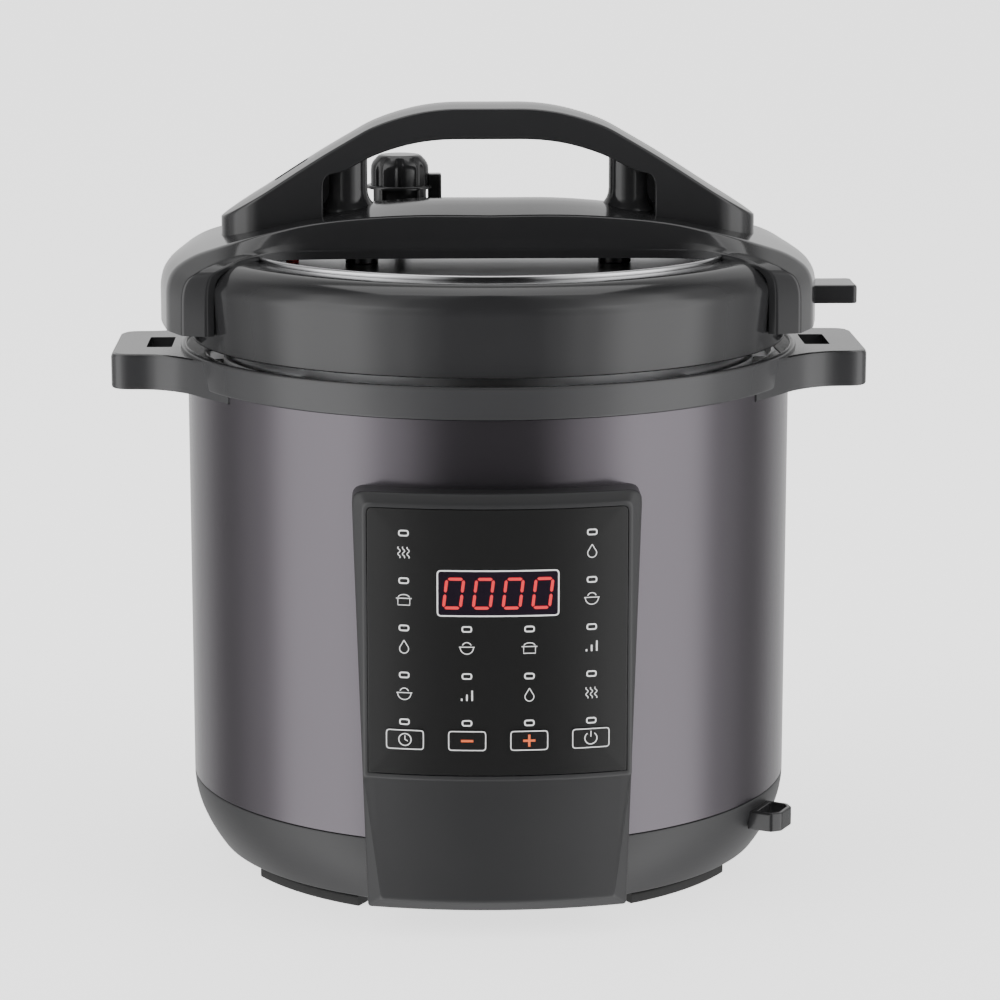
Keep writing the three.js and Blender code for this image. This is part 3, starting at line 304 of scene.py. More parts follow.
@dataclass(frozen=True)
class Finish:
    """A procedural finish.

    Attributes:
        name: name of the material.
        slot: material slot of the record that it belongs to; not used.
        color: base colour, linear.
        roughness: middle roughness.
        metallic: 0 for plastic, 1 for bare metal.
        grain: how the grain runs.
        grain_scale: grains in a metre.
        grain_height: height of the grain in millimetres.
        mottle: how far the colour strays from the base colour.
        wear: how far the roughness strays.
        coat: clear coat.
        see_through: transmission.
        glow: strength of its own light.
    """

    name: str
    slot: str
    color: tuple[float, float, float]
    roughness: float
    metallic: float = 0.0
    grain: Grain = Grain.MOULDED
    grain_scale: float = 2500.0
    grain_height: float = 0.01
    mottle: float = 0.12
    wear: float = 0.05
    coat: float = 0.0
    see_through: float = 0.0
    glow: float = 0.0

    def material(self) -> bpy.types.Material:
        """Builds the material once and gives it back."""
        found = bpy.data.materials.get(self.name)
        if found:
            return found
        made = bpy.data.materials.new(self.name)
        made.use_nodes = True
        nodes, links = made.node_tree.nodes, made.node_tree.links
        shader = nodes["Principled BSDF"]
        place = nodes.new("ShaderNodeTexCoord").outputs["Object"]
        patches = self._noise(nodes, links, place, scale=18.0, detail=3.0)
        grains = self._noise(nodes, links, self._grain_place(nodes, links, place), self.grain_scale, 2.0)
        tint = nodes.new("ShaderNodeMix")
        tint.data_type = "RGBA"
        tint.inputs["A"].default_value = (*[c * (1 - self.mottle) for c in self.color], 1)
        tint.inputs["B"].default_value = (*[min(1, c * (1 + self.mottle)) for c in self.color], 1)
        source = grains if self.grain is Grain.FLAKE else patches
        links.new(source, tint.inputs["Factor"])
        links.new(tint.outputs["Result"], shader.inputs["Base Color"])
        spread = nodes.new("ShaderNodeMapRange")
        spread.inputs["To Min"].default_value = max(0.03, self.roughness - self.wear)
        spread.inputs["To Max"].default_value = min(1.0, self.roughness + self.wear)
        links.new(patches, spread.inputs["Value"])
        links.new(spread.outputs["Result"], shader.inputs["Roughness"])
        bump = nodes.new("ShaderNodeBump")
        bump.inputs["Strength"].default_value = 0.5
        bump.inputs["Distance"].default_value = self.grain_height * MM
        links.new(grains, bump.inputs["Height"])
        links.new(bump.outputs["Normal"], shader.inputs["Normal"])
        shader.inputs["Metallic"].default_value = self.metallic
        shader.inputs["Coat Weight"].default_value = self.coat
        shader.inputs["Coat Roughness"].default_value = 0.08
        shader.inputs["Transmission Weight"].default_value = self.see_through
        shader.inputs["Emission Color"].default_value = (*self.color, 1)
        shader.inputs["Emission Strength"].default_value = self.glow
        return made

    @staticmethod
    def _noise(nodes: object, links: object, place: object, scale: float, detail: float) -> object:
        """A noise output on given coordinates."""
        noise = nodes.new("ShaderNodeTexNoise")
        noise.inputs["Scale"].default_value = scale
        noise.inputs["Detail"].default_value = detail
        links.new(place, noise.inputs["Vector"])
        return noise.outputs["Fac"]

    def _grain_place(self, nodes: object, links: object, place: object) -> object:
        """Coordinates of the grain: (radius, 0, height) for spun metal, else the object's own."""
        if self.grain is not Grain.SPUN:
            return place
        parts = nodes.new("ShaderNodeSeparateXYZ")
        links.new(place, parts.inputs["Vector"])
        flat = nodes.new("ShaderNodeCombineXYZ")
        links.new(parts.outputs["X"], flat.inputs["X"])
        links.new(parts.outputs["Y"], flat.inputs["Y"])
        length = nodes.new("ShaderNodeVectorMath")
        length.operation = "LENGTH"
        links.new(flat.outputs["Vector"], length.inputs[0])
        turned_place = nodes.new("ShaderNodeCombineXYZ")
        links.new(length.outputs["Value"], turned_place.inputs["X"])
        links.new(parts.outputs["Z"], turned_place.inputs["Z"])
        return turned_place.outputs["Vector"]


GLOSS = Finish(
    "gloss_black_moulding", "black_gloss", (0.024, 0.024, 0.025), 0.13, wear=0.03, grain_height=0.002
)
RIM = replace(GLOSS, name="rim_black_moulding", roughness=0.22, color=(0.034, 0.034, 0.0355))
SATIN = Finish("satin_black_moulding", "black_satin", (0.022, 0.022, 0.023), 0.42, grain_height=0.012)
PAINT = Finish(
    "dark_metallic_paint", "dark_paint", (0.115, 0.105, 0.118), 0.2, metallic=0.85,
    grain=Grain.FLAKE, grain_scale=6000.0, grain_height=0.003, mottle=0.12, wear=0.03,
)
STEEL = Finish(
    "spun_steel", "bright_steel", (0.62, 0.62, 0.63), 0.16, metallic=1.0,
    grain=Grain.SPUN, grain_scale=900.0, grain_height=0.004, mottle=0.04, wear=0.04,
)
PLATE = replace(STEEL, name="brushed_plate", roughness=0.3)
ALUMINIUM = replace(
    STEEL, name="cast_aluminium", slot="cast_aluminium", color=(0.5, 0.5, 0.51), roughness=0.42,
    grain=Grain.MOULDED, grain_scale=1500.0, grain_height=0.02,
)
NON_STICK = replace(
    SATIN, name="non_stick_coating", slot="non_stick", color=(0.05, 0.05, 0.054), roughness=0.38,
    grain=Grain.FLAKE, grain_scale=3000.0,
)
SILICONE = Finish("milky_silicone", "silicone", (0.68, 0.68, 0.64), 0.5, mottle=0.05)
RUBBER = replace(
    SATIN, name="foot_rubber", slot="foot_rubber", color=(0.018, 0.018, 0.018), roughness=0.8,
    grain_scale=1200.0, grain_height=0.03,
)
CLEAR = Finish("clear_moulding", "clear_plastic", (0.86, 0.88, 0.9), 0.12, see_through=0.85, mottle=0.02)
BOARD = Finish("circuit_board", "circuit_board", (0.03, 0.14, 0.06), 0.5, mottle=0.3)
FILM = Finish("panel_film", "panel_film", (0.02, 0.02, 0.0205), 0.3, grain_height=0.004, wear=0.03)
WINDOW = replace(FILM, name="display_window", color=(0.012, 0.008, 0.014), roughness=0.12, grain_height=0.001)
PRINT = replace(FILM, name="white_print", color=(0.8, 0.8, 0.8), roughness=0.5, mottle=0.04)
ORANGE = replace(
    FILM, name="orange_print", slot="orange_key", color=(0.85, 0.13, 0.02), roughness=0.5, mottle=0.05
)
DIGIT = replace(FILM, name="lit_digit", color=(0.75, 0.012, 0.02), roughness=0.5, mottle=0.12, glow=0.25)
RED = Finish("red_float", "float_red", (0.5, 0.03, 0.02), 0.4)


# ---- Putting skins into the scene ----


def add_piece(
    name: str,
    skins: Iterable[Skin],
    finish: Finish,
    body: str,
    nodes: Sequence[str] = (),
    crease: float = 40.0,
    holes: Sequence[Skin] = (),
) -> bpy.types.Object:
    """Makes one object of closed skins.

    Args:
        name: name of the piece.
        skins: its closed skins.
        finish: its finish.
        body: the moving body that it rides on.
        nodes: the frame nodes that it stands for.
        crease: angle in degrees past which an edge stays sharp.
        holes: skins whose inside is cut away.

    Returns:
        The object.
    """
    mesh = bpy.data.meshes.new(name)
    points, faces, first = [], [], 0
    for skin in skins:
        points.append(skin.points * MM)
        faces += [[first + corner for corner in face] for face in skin.faces]
        first += len(skin.points)
    mesh.from_pydata(np.concatenate(points), [], faces)
    work = bmesh.new()
    work.from_mesh(mesh)
    bmesh.ops.remove_doubles(work, verts=work.verts, dist=2e-6)
    bmesh.ops.dissolve_degenerate(work, edges=work.edges, dist=1e-7)
    bmesh.ops.recalc_face_normals(work, faces=work.faces)
    work.to_mesh(mesh)
    work.free()
    piece = bpy.data.objects.new(name, mesh)
    bpy.context.collection.objects.link(piece)
    for number, hole in enumerate(holes):
        cut_hole(piece, hole, number)
    piece.data.shade_smooth()
    piece.data.set_sharp_from_angle(angle=np.radians(crease))
    weigh = piece.modifiers.new("even_shading", "WEIGHTED_NORMAL")
    weigh.keep_sharp = True
    piece.data.materials.clear()
    piece.data.materials.append(finish.material())
    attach(piece, body)
    if nodes:
        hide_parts(*nodes)
    LOG.info("%s: %d points", name, len(piece.data.vertices))
    return piece


def cut_hole(piece: bpy.types.Object, hole: Skin, number: int) -> None:
    """Cuts the inside of a closed skin out of a piece.

    Args:
        piece: the piece.
        hole: the closed skin.
        number: tells one cutter from the next.
    """
    mesh = bpy.data.meshes.new(f"cutter_{number}")
    mesh.from_pydata(hole.points * MM, [], hole.faces)
    work = bmesh.new()
    work.from_mesh(mesh)
    bmesh.ops.remove_doubles(work, verts=work.verts, dist=2e-6)
    bmesh.ops.recalc_face_normals(work, faces=work.faces)
    work.to_mesh(mesh)
    work.free()
    cutter = bpy.data.objects.new(f"cutter_{number}", mesh)
    bpy.context.collection.objects.link(cutter)
    carve = piece.modifiers.new("carve", "BOOLEAN")
    carve.operation = "DIFFERENCE"
    carve.solver = "EXACT"
    carve.object = cutter
    bpy.context.view_layer.objects.active = piece
    bpy.ops.object.modifier_apply(modifier=carve.name)
    bpy.data.objects.remove(cutter)


def dress(finish: Finish, *nodes: str) -> None:
    """Gives frame nodes that stay in sight their finish."""
    for name in nodes:
        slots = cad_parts[name].data.materials
        slots.clear()
        slots.append(finish.material())


# ---- Base: bowl, feet, sleeve and rim ----


@dataclass
class Base:
    """The body's outside: bowl, feet, painted sleeve and the rim with its two handles.

    Attributes:
        wall: wall of the mouldings.
        floor_bore: radius of the opening in the bowl's floor.
        neck: inner radius of the rim below its ledge.
        tuck: how far the bowl draws in towards its foot.
        belly: power of the curve by which it draws in.
        lip: radius of the rim's inner edge.
        slot_near: from the axis to the near side of a handle's slot.
        slot_far: from the axis to its far side.
        slot_half: half width of the slot.
        slot_corner: rounding of its corners.
        tip_corner: rounding of the handle's tip.
        handle_half: half width of a handle.
        handle_root: half width of its root on the rim.
        handle_flare: how far the flare's curve reaches.
        handle_drop: top of a handle below the rim's top.
    """

    wall: float = 2.5
    floor_bore: float = 62.0
    neck: float = 131.0
    tuck: float = 12.0
    belly: float = 1.9
    lip: float = 137.4
    slot_near: float = 143.5
    slot_far: float = 155.0
    slot_half: float = 15.0
    slot_corner: float = 1.2
    tip_corner: float = 9.0
    handle_half: float = 36.0
    handle_root: float = 78.0
    handle_flare: float = 24.0
    handle_drop: float = 1.5
    radius: float = field(init=False)
    bowl_top: float = field(init=False)
    bowl_foot: float = field(init=False)

    def __post_init__(self) -> None:
        """Reads the levels from the frame."""
        low, high = box_of("base_bowl")
        self.radius = high[0]
        self.bowl_foot = low[2]
        self.bowl_top = high[2]

    def bowl_radius(self, height: Array) -> Array:
        """Radius of the bowl: the body's radius less tuck * (drop / height of the bowl) ** belly."""
        drop = np.clip((self.bowl_top - height) / (self.bowl_top - self.bowl_foot - 1.5), 0, 1)
        return self.radius - self.tuck * drop**self.belly

    def build(self) -> None:
        """Builds every piece of the base."""
        self.build_bowl()
        self.build_feet()
        self.build_sleeve()
        self.build_rim()

    def build_bowl(self) -> None:
        """The bowl, with the opening for the power inlet at its back."""
        foot = self.bowl_foot
        heights = np.linspace(foot + 1.5, self.bowl_top, 14)
        outside = np.column_stack([self.bowl_radius(heights), heights])
        inside = outside[::-1] - np.array([self.wall, 0])
        inside[-1] = [self.radius - self.tuck - 5, foot + self.wall]
        profile = np.concatenate(
            [
                [[self.floor_bore, foot], [self.radius - self.tuck - 4, foot]],
                outside,
                inside,
                [[self.floor_bore, foot + self.wall]],
            ]
        )
        soft = np.full(len(profile), 0.8)
        low, high = box_of("power_inlet")
        middle, room = (low[2] + high[2]) / 2, high - low + 0.6
        edge = rectangle(0, middle, room[0], room[2])
        opening = upright(plate_of(np.array([0.0, middle]), edge, low[1] - 10, high[1] + 10))
        add_piece("bowl", [turned(profile, soft)], SATIN, "base", ["base_bowl"], holes=[opening])

    def build_feet(self) -> None:
        """The four rubber feet."""
        corners = {"front_right": -45, "rear_right": 45, "rear_left": 135, "front_left": 225}
        for corner, angle in corners.items():
            node = f"foot_{corner}"
            height = box_of(node)[1][2]
            outer = self.radius - self.tuck - 4
            profile = rectangle(outer - 4.5, height / 2, 9, height)
            skin = turned(profile, 1.0, angle - 15, 30, 14)
            add_piece(f"rubber_{node}", [skin], RUBBER, "base", [node])

    def build_sleeve(self) -> None:
        """The painted metal sleeve."""
        low, high = box_of("outer_sleeve")
        middle = (low[2] + high[2]) / 2
        profile = rectangle(self.radius - 0.6, middle, 1.2, high[2] - low[2])
        add_piece("painted_sleeve", [turned(profile, 0.3, parts=256)], PAINT, "base", ["outer_sleeve"])

    def build_rim(self) -> None:
        """The rim ring with a slotted handle at each side."""
        low, high = box_of("body_ring")
        outer = high[1]
        bottom = box_of("outer_sleeve")[1][2] + 0.3
        ledge = high[2] - 5
        ring = turned(
            [
                [self.neck, bottom], [outer - 1, bottom], [outer, high[2]],
                [self.lip, high[2]], [self.lip, ledge], [self.neck, ledge],
            ],
            [0.4, 0.8, 1.3, 0.8, 0.3, 0.3],
            parts=256,
        )
        add_piece("rim_ring", [ring], RIM, "base", ["body_ring"])
        middle, length = (self.slot_near + self.slot_far) / 2, self.slot_far - self.slot_near
        slot = outline(rectangle(middle, 0, length, 2 * self.slot_half), self.slot_corner, between=1)
        cut = slab([(slot, low[2] - 5), (slot, high[2] + 5)])
        blank = self.handle(outer, high[0], low[2], high[2] - self.handle_drop)
        for side, turn in (("right", 0), ("left", 180)):
            add_piece(f"rim_handle_{side}", [blank.spun(turn)], RIM, "base", holes=[cut.spun(turn)])

    def handle(self, ring: float, tip: float, bottom: float, top: float) -> Skin:
        """The right-hand handle before its slot is cut: a flat moulding that flares into the rim.

        Args:
            ring: outer radius of the rim.
            tip: reach of the handle.
            bottom: its underside.
            top: its top.

        Returns:
            The skin.
        """
        root, half = self.handle_root, self.handle_half
        flare, corner = self.handle_flare, self.tip_corner
        inner = ring - 2.9
        root_x = np.sqrt(inner**2 - root**2)
        below = np.array([[root_x, -root], [ring + 3, -half - 1], [tip, -half]])
        flank = np.concatenate([below, below[::-1] * [1, -1]])
        line = soften(flank, [0, flare, corner, corner, flare, 0], 14, 6, False)
        sweep = np.arcsin(root / inner) * np.linspace(1, -1, 30)[1:-1]
        line = np.concatenate([line, inner * np.column_stack([np.cos(sweep), np.sin(sweep)])])
        ahead = np.roll(line, -1, axis=0) - np.roll(line, 1, axis=0)
        inward = ahead[:, ::-1] * [-1, 1] / np.linalg.norm(ahead, axis=1, keepdims=True)
        free = np.clip((np.hypot(line[:, 0], line[:, 1]) - ring) / 4, 0, 1)[:, None]
        foot_levels = [(1.0, bottom), (0.3, bottom + 0.3), (0, bottom + 1)]
        head_levels = [(0, top - 1.8), (0.5, top - 0.5), (1.8, top)]
        return slab([(line + inward * free * inset, level) for inset, level in foot_levels + head_levels])


# ---- Pots ----


@dataclass
class Pots:
    """The outer pot with its bayonet lugs, and the inner pot.

    Attributes:
        lugs: number of lugs.
        lug_span: degrees that one lug covers.
    """

    lugs: int = 6
    lug_span: float = 30.0

    def build(self) -> None:
        """Builds both pots and dresses what lies round them."""
        low, high = box_of("outer_pot")
        flange, top, floor = high[0], high[2], low[2]
        wall = 1.2
        neck, pot = 129.0, 126.0
        profile = [
            [87, floor], [pot - 8, floor], [pot, floor + 10], [pot, top - 16], [neck + wall, top - 12],
            [neck + wall, top - wall], [flange, top - wall], [flange, top], [neck, top], [neck, top - 12],
            [pot - wall, top - 16], [pot - wall, floor + 10], [pot - 9, floor + wall], [87, floor + wall],
        ]
        skins = [turned(profile, 1.0)]
        for turn in range(self.lugs):
            lug = rectangle((122.5 + neck + 0.6) / 2, top - wall - 1.1, neck + 0.6 - 122.5, 2.2)
            middle = 30 + turn * 360 / self.lugs
            skins.append(turned(lug, 0.5, middle - self.lug_span / 2, self.lug_span, 12))
        add_piece("steel_outer_pot", skins, STEEL, "base", ["outer_pot"])

        low, high = box_of("inner_pot")
        floor, rim, radius = low[2], high[2], 112.0
        wall = 1.8
        profile = [
            [0, floor], [radius - 2, floor], [radius, floor + 8], [radius, rim - 2 * wall],
            [high[0], rim - wall], [high[0], rim], [radius - wall, rim], [radius - wall, floor + 8],
            [radius - 4, floor + wall], [0, floor + wall],
        ]
        soft = [0, 10, 4, 1.5, 0.6, 0.7, 2.5, 4, 9, 0]
        add_piece("coated_inner_pot", [turned(profile, soft)], NON_STICK, "pot", ["inner_pot"])
        dress(ALUMINIUM, "heating_plate", "temperature_sensor", "thermal_fuse")
        dress(STEEL, "sensor_spring", "spring_beam", "beam_screw_left", "beam_screw_right")


# ---- Control panel ----


@dataclass
class Panel:
    """The curved control housing with its film, lamps, display and keys.

    A flat point (x, z, d) lies d behind the face, whose plan is a circle of face_radius.

    Attributes:
        face_radius: radius of the curved face.
        bevel: width of the bevel round the face.
        corner: rounding of the top corners.
        head_drop: how far the shell's top edge stays below the top of its box.
        lamp: width and height of a lamp's outline.
        lamp_pitch: from one row of lamps to the next.
        columns: places of the four columns of lamps.
    """

    base: Base
    face_radius: float = 200.0
    bevel: float = 5.5
    corner: float = 6.0
    head_drop: float = 2.2
    lamp: tuple[float, float] = (3.85, 2.15)
    lamp_pitch: float = 20.4
    columns: tuple[float, ...] = (-39.6, -13.2, 13.2, 39.6)
    low: Array = field(init=False)
    high: Array = field(init=False)
    centre_y: float = field(init=False)

    def __post_init__(self) -> None:
        """Reads the housing's box from the frame."""
        self.low, self.high = box_of("control_housing")
        self.centre_y = self.low[1] + self.face_radius

    def bent(self, skin: Skin) -> Skin:
        """Lays a flat skin on the face: y = centre - sqrt(radius^2 - x^2) + d."""
        x, z, depth = skin.points.T
        face = self.centre_y - np.sqrt(self.face_radius**2 - np.clip(x, -100, 100) ** 2)
        return Skin(np.column_stack([x, face + depth, z]), skin.faces)

    def build(self) -> None:
        """Builds the housing, the film and everything on it."""
        self.build_housing()
        self.build_film()
        self.build_marks()
        self.build_display()
        self.build_keys()
        dress(BOARD, "control_board", "display_module", "power_board")

    def housing_outline(self, inset: float) -> Array:
        """Outline of the housing from the front, drawn in by an inset."""
        bottom, top = self.low[2] + inset, self.high[2] - self.head_drop - inset
        foot, head = 55.7 - inset, self.high[0] - inset
        corners = np.array([[-foot, bottom], [foot, bottom], [head, top], [-head, top]])
        corner = max(1.5, self.corner - inset)
        return outline(corners, [1.5, 1.5, corner, corner], between=12)

    def build_housing(self) -> None:
        """The housing: rings from the film's seat over the bevelled edge to its back, and back inside."""
        film_low, film_high = box_of("panel_overlay")
        width, height = film_high[0] - film_low[0], film_high[2] - film_low[2]
        middle = (film_high[2] + film_low[2]) / 2
        seat = outline(rectangle(0, middle, width + 0.6, height + 0.6), [0.8, 0.8, 3, 3], between=12)
        crest = outline(rectangle(0, middle, width + 3.4, height + 3.4), [1.5, 1.5, 4, 4], between=12)
        outer = self.housing_outline(0)
        back = 20.0
        rings = [
            (np.array([0, middle]), 1.2),
            (seat, 1.2),
            (seat, -0.05),
            (crest, -0.05),
            (crest + (crest - [0, middle]) * 0.012, 0.45),
            (self.housing_outline(self.bevel), 0.45),
            (outer, self.bevel),
            (outer, back),
            (self.housing_outline(2.5), back),
            (self.housing_outline(2.5), 4.0),
            (np.array([0, middle]), 4.0),
        ]
        skin = self.bent(stacked(rings, [0, 0.1, 0.25, 0.5, 0.4, 1.2, 0.9, 0.3, 0.3, 0.5, 0], between=6))
        x, y, z = skin.points.T
        reach = -np.sqrt(np.maximum((self.base.bowl_radius(z) - 0.6) ** 2 - x**2, 0))
        y = np.where(y > self.low[1] + 16, np.maximum(y, reach), y)
        shell = Skin(np.column_stack([x, y, z]), skin.faces)
        add_piece("control_shell", [shell], SATIN, "base", ["control_housing"])

    def build_film(self) -> None:
        """The printed film in its seat."""
        low, high = box_of("panel_overlay")
        middle = (high[2] + low[2]) / 2
        shape = rectangle(0, middle, high[0] - low[0], high[2] - low[2])
        edge = outline(shape, [0.6, 0.6, 2.8, 2.8], between=12)
        film = plate_of(np.array([0, middle]), edge, 1.0, 0.15, [0, 0.1, 0.3, 0], between=8)
        add_piece("printed_film", [self.bent(film)], FILM, "base", ["panel_overlay"])

    def lamp_rows(self) -> Array:
        """Heights of the five rows of lamps."""
        first = box_of("key_minus")[1][2] + 3.0
        return first + self.lamp_pitch * np.arange(5)

    def frame_line(
        self, x: float, z: float, width: float, height: float, soft: float, line: float, at: float
    ) -> Skin:
        """A printed rounded frame about (x, z), at a depth behind the face."""
        path = outline(rectangle(x, z, width, height), soft, between=6)
        return self.bent(ribbon(path, line, at, at - 0.06, closed=True))

    def build_marks(self) -> None:
        """The lamps' outlines: five in each outer column and three in each inner one."""
        rows = self.lamp_rows()
        width, height = self.lamp
        skins = []
        for column, x in enumerate(self.columns):
            levels = rows if column in (0, 3) else rows[:3]
            skins += [self.frame_line(x, z, width, height, 0.95, 0.62, 0.14) for z in levels]
        add_piece("lamp_outlines", skins, PRINT, "base")
        self.build_pictures()

    def build_pictures(self) -> None:
        """A small picture under each lamp of the upper rows, in turn from one list."""
        pictures = (self.bowl_sign, self.drop_sign, self.pan_sign, self.steam_sign, self.bars_sign)
        rows = self.lamp_rows()[1:]
        count = 0
        skins = []
        for column, x in enumerate(self.columns):
            for z in rows if column in (0, 3) else rows[:2]:
                strokes = pictures[count % len(pictures)]()
                skins += [self.bent(ribbon(path + [x, z - 8.3], line, 0.14, 0.08)) for path, line in strokes]
                count += 1
        add_piece("programme_pictures", skins, PRINT, "base")

    def build_display(self) -> None:
        """The display window with its frame and four digits of seven strokes."""
        low, high = box_of("display_module")
        x, z = 0.0, (low[2] + high[2]) / 2 - 0.8
        width, height = 51.0, 19.4
        edge = outline(rectangle(x, z, width, height), 1.6, between=12)
        glass = plate_of(np.array([x, z]), edge, 0.3, 0.1, [0, 0, 0.1, 0], between=6)
        add_piece("display_glass", [self.bent(glass)], WINDOW, "base")
        border = self.frame_line(x, z, width, height, 1.6, 0.6, 0.12)
        add_piece("display_frame", [border], PRINT, "base")
        digits = [skin for place in (-18.7, -6.2, 6.3, 18.8) for skin in self.digit(x + place, z)]
        add_piece("display_digits", digits, DIGIT, "base")

    def digit(self, x: float, z: float) -> list[Skin]:
        """A nought of six pointed strokes, leaning to the right.

        Args:
            x: middle of the digit.
            z: middle of the digit.

        Returns:
            Its strokes.
        """
        half, rise, gap, lean = 3.55, 6.2, 0.45, 0.12
        ends = [
            ((-half + gap, rise), (half - gap, rise)),
            ((half, rise - gap), (half, gap)),
            ((half, -gap), (half, -rise + gap)),
            ((half - gap, -rise), (-half + gap, -rise)),
            ((-half, -rise + gap), (-half, -gap)),
            ((-half, gap), (-half, rise - gap)),
        ]
        share = np.array([0, 0.1, 0.9, 1])[:, None]
        strokes = []
        for start, end in ends:
            path = np.array(start) + (np.array(end) - np.array(start)) * share
            path[:, 0] += path[:, 1] * lean
            strokes.append(self.bent(ribbon(path + [x, z], [0.3, 1.3, 1.3, 0.3], 0.09, 0.03)))
        return strokes

    def build_keys(self) -> None:
        """The four keys: a raised pad with a printed frame and a sign each."""
        signs = {
            "delay": self.clock_sign,
            "minus": self.minus_sign,
            "plus": self.plus_sign,
            "cancel": self.stop_sign,
        }
        for name, sign in signs.items():
            node = f"key_{name}"
            low, high = box_of(node)
            x, z = (low[0] + high[0]) / 2, (low[2] + high[2]) / 2
            width, height = high[0] - low[0], high[2] - low[2]
            edge = outline(rectangle(x, z, width, height), 1.5, between=6)
            pad = plate_of(np.array([x, z]), edge, 3.0, -0.45, [0, 0.2, 0.4, 0], between=4)
            body = f"{name}_key"
            add_piece(f"{name}_pad", [self.bent(pad)], FILM, body, [node])
            face = -0.44
            frame_line = self.frame_line(x, z, width - 1.0, height - 1.0, 1.4, 0.42, face)
            add_piece(f"{name}_frame", [frame_line], PRINT, body)
            finish = ORANGE if name in ("minus", "plus") else PRINT
            marks = [self.bent(ribbon(path + [x, z], line, face, face - 0.06)) for path, line in sign()]
            add_piece(f"{name}_sign", marks, finish, body)

    @staticmethod
    def arc(radius: float, start: float, end: float, steps: int = 24) -> Array:
        """Points (r cos a, r sin a) from one angle to another, in degrees."""
        angles = np.radians(np.linspace(start, end, steps))
        return radius * np.column_stack([np.cos(angles), np.sin(angles)])

    def minus_sign(self) -> list[tuple[Array, float]]:
        """A short bar."""
        return [(np.array([[-2.6, 0], [2.6, 0]]), 1.0)]

    def plus_sign(self) -> list[tuple[Array, float]]:
        """Two crossed bars."""
        return [*self.minus_sign(), (np.array([[0, -2.6], [0, 2.6]]), 1.0)]

    def clock_sign(self) -> list[tuple[Array, float]]:
        """A clock face: a circle and two hands."""
        return [(self.arc(2.6, 0, 360), 0.42), (np.array([[0, 1.7], [0, 0], [1.2, -0.6]]), 0.4)]

    def bowl_sign(self) -> list[tuple[Array, float]]:
        """A bowl with its contents heaped."""
        return [
            (self.arc(2.8, 180, 360) + [0, 0.4], 0.36),
            (np.array([[-3.3, 0.6], [3.3, 0.6]]), 0.36),
            (self.arc(1.9, 20, 160) + [0, 0.7], 0.36),
        ]

    def drop_sign(self) -> list[tuple[Array, float]]:
        """A drop."""
        return [(np.concatenate([[[0, 3.0]], self.arc(1.9, 155, 385) + [0, -0.7], [[0, 3.0]]]), 0.36)]

    def pan_sign(self) -> list[tuple[Array, float]]:
        """A pan with a lid and a knob."""
        return [
            (np.array([[-2.5, 0.5], [-2.5, -2.2], [2.5, -2.2], [2.5, 0.5]]), 0.36),
            (np.array([[-3.3, 0.7], [3.3, 0.7]]), 0.36),
            (self.arc(2.4, 10, 170) * [1, 0.6] + [0, 0.9], 0.36),
        ]

    def steam_sign(self) -> list[tuple[Array, float]]:
        """Three wavy lines of steam."""
        rise = np.linspace(-2.4, 2.4, 20)
        wave = np.column_stack([0.5 * np.sin(rise * 2.4), rise])
        return [(wave + [shift, 0], 0.36) for shift in (-1.9, 0, 1.9)]

    def bars_sign(self) -> list[tuple[Array, float]]:
        """Three bars that rise to the right."""
        return [(np.array([[x, -2.3], [x, x * 0.8 + 0.4]]), 0.7) for x in (-2.2, 0, 2.2)]

    def stop_sign(self) -> list[tuple[Array, float]]:
        """A stop sign: a broken circle with a bar at its top."""
        return [(self.arc(2.6, 125, 415), 0.42), (np.array([[0, 0.6], [0, 3.1]]), 0.42)]


# ---- Lid ----


@dataclass
class Lid:
    """The lid's round pieces: moulded ring, bright bead and steel plate with its skirt and lugs.

    Attributes:
        shoulder: height of the ring's slanted shoulder.
        lugs: number of lugs.
        lug_span: degrees that one lug covers.
    """

    shoulder: float = 10.8
    lugs: int = 6
    lug_span: float = 24.0

    def build(self) -> None:
        """Builds the round pieces."""
        low, high = box_of("lid_ring")
        radius, bottom, top = high[0], low[2], high[2]
        bead = box_of("lid_bead")[1][0]
        plate = box_of("lid_pan")[1][2]
        inner = bead + 0.3
        profile = [
            [radius - 2, bottom], [radius, top - self.shoulder], [radius - 4.4, top - 3.8],
            [radius - 11, top - 0.2], [inner, top - 0.5], [inner, plate + 0.3],
            [radius - 14, plate - 1], [radius - 2.5, plate - 12], [radius - 4.5, bottom],
        ]
        soft = [0.9, 2.2, 3.2, 2.6, 0.8, 0.3, 4, 6, 0.5]
        add_piece("lid_ring_moulding", [turned(profile, soft, parts=256)], GLOSS, "lid", ["lid_ring"])

        crown = box_of("lid_bead")[1][2]
        profile = rectangle(bead - 1.5, (plate + 0.3 + crown) / 2, 3.0, crown - plate - 0.3)
        bead_skin = turned(profile, [0.2, 0.2, 1.45, 1.45], parts=256)
        add_piece("bright_bead", [bead_skin], STEEL, "lid", ["lid_bead"])

        foot = box_of("lid_pan")[0][2]
        skirt = 120.7
        profile = [
            [0, plate], [108, plate], [skirt, plate - 9], [skirt, foot], [skirt - 1.2, foot],
            [skirt - 1.2, plate - 10], [107.4, plate - 1.2], [0, plate - 1.2],
        ]
        skins = [turned(profile, [0, 4, 4, 0.4, 0.4, 3, 4, 0], parts=256)]
        reach = box_of("lid_pan")[1][0]
        for turn in range(self.lugs):
            lug = rectangle((skirt - 0.6 + reach) / 2, foot + 1.1, reach - skirt + 0.6, 2.2)
            middle = turn * 360 / self.lugs
            skins.append(turned(lug, 0.5, middle - self.lug_span / 2, self.lug_span, 12))
        add_piece("steel_plate", skins, PLATE, "lid", ["lid_pan"])
        dress(STEEL, "steam_pipe", "vent_shield", "bridge_screw_left", "bridge_screw_right", "seal_rack")
        dress(SILICONE, "sealing_ring", "float_valve_seal")


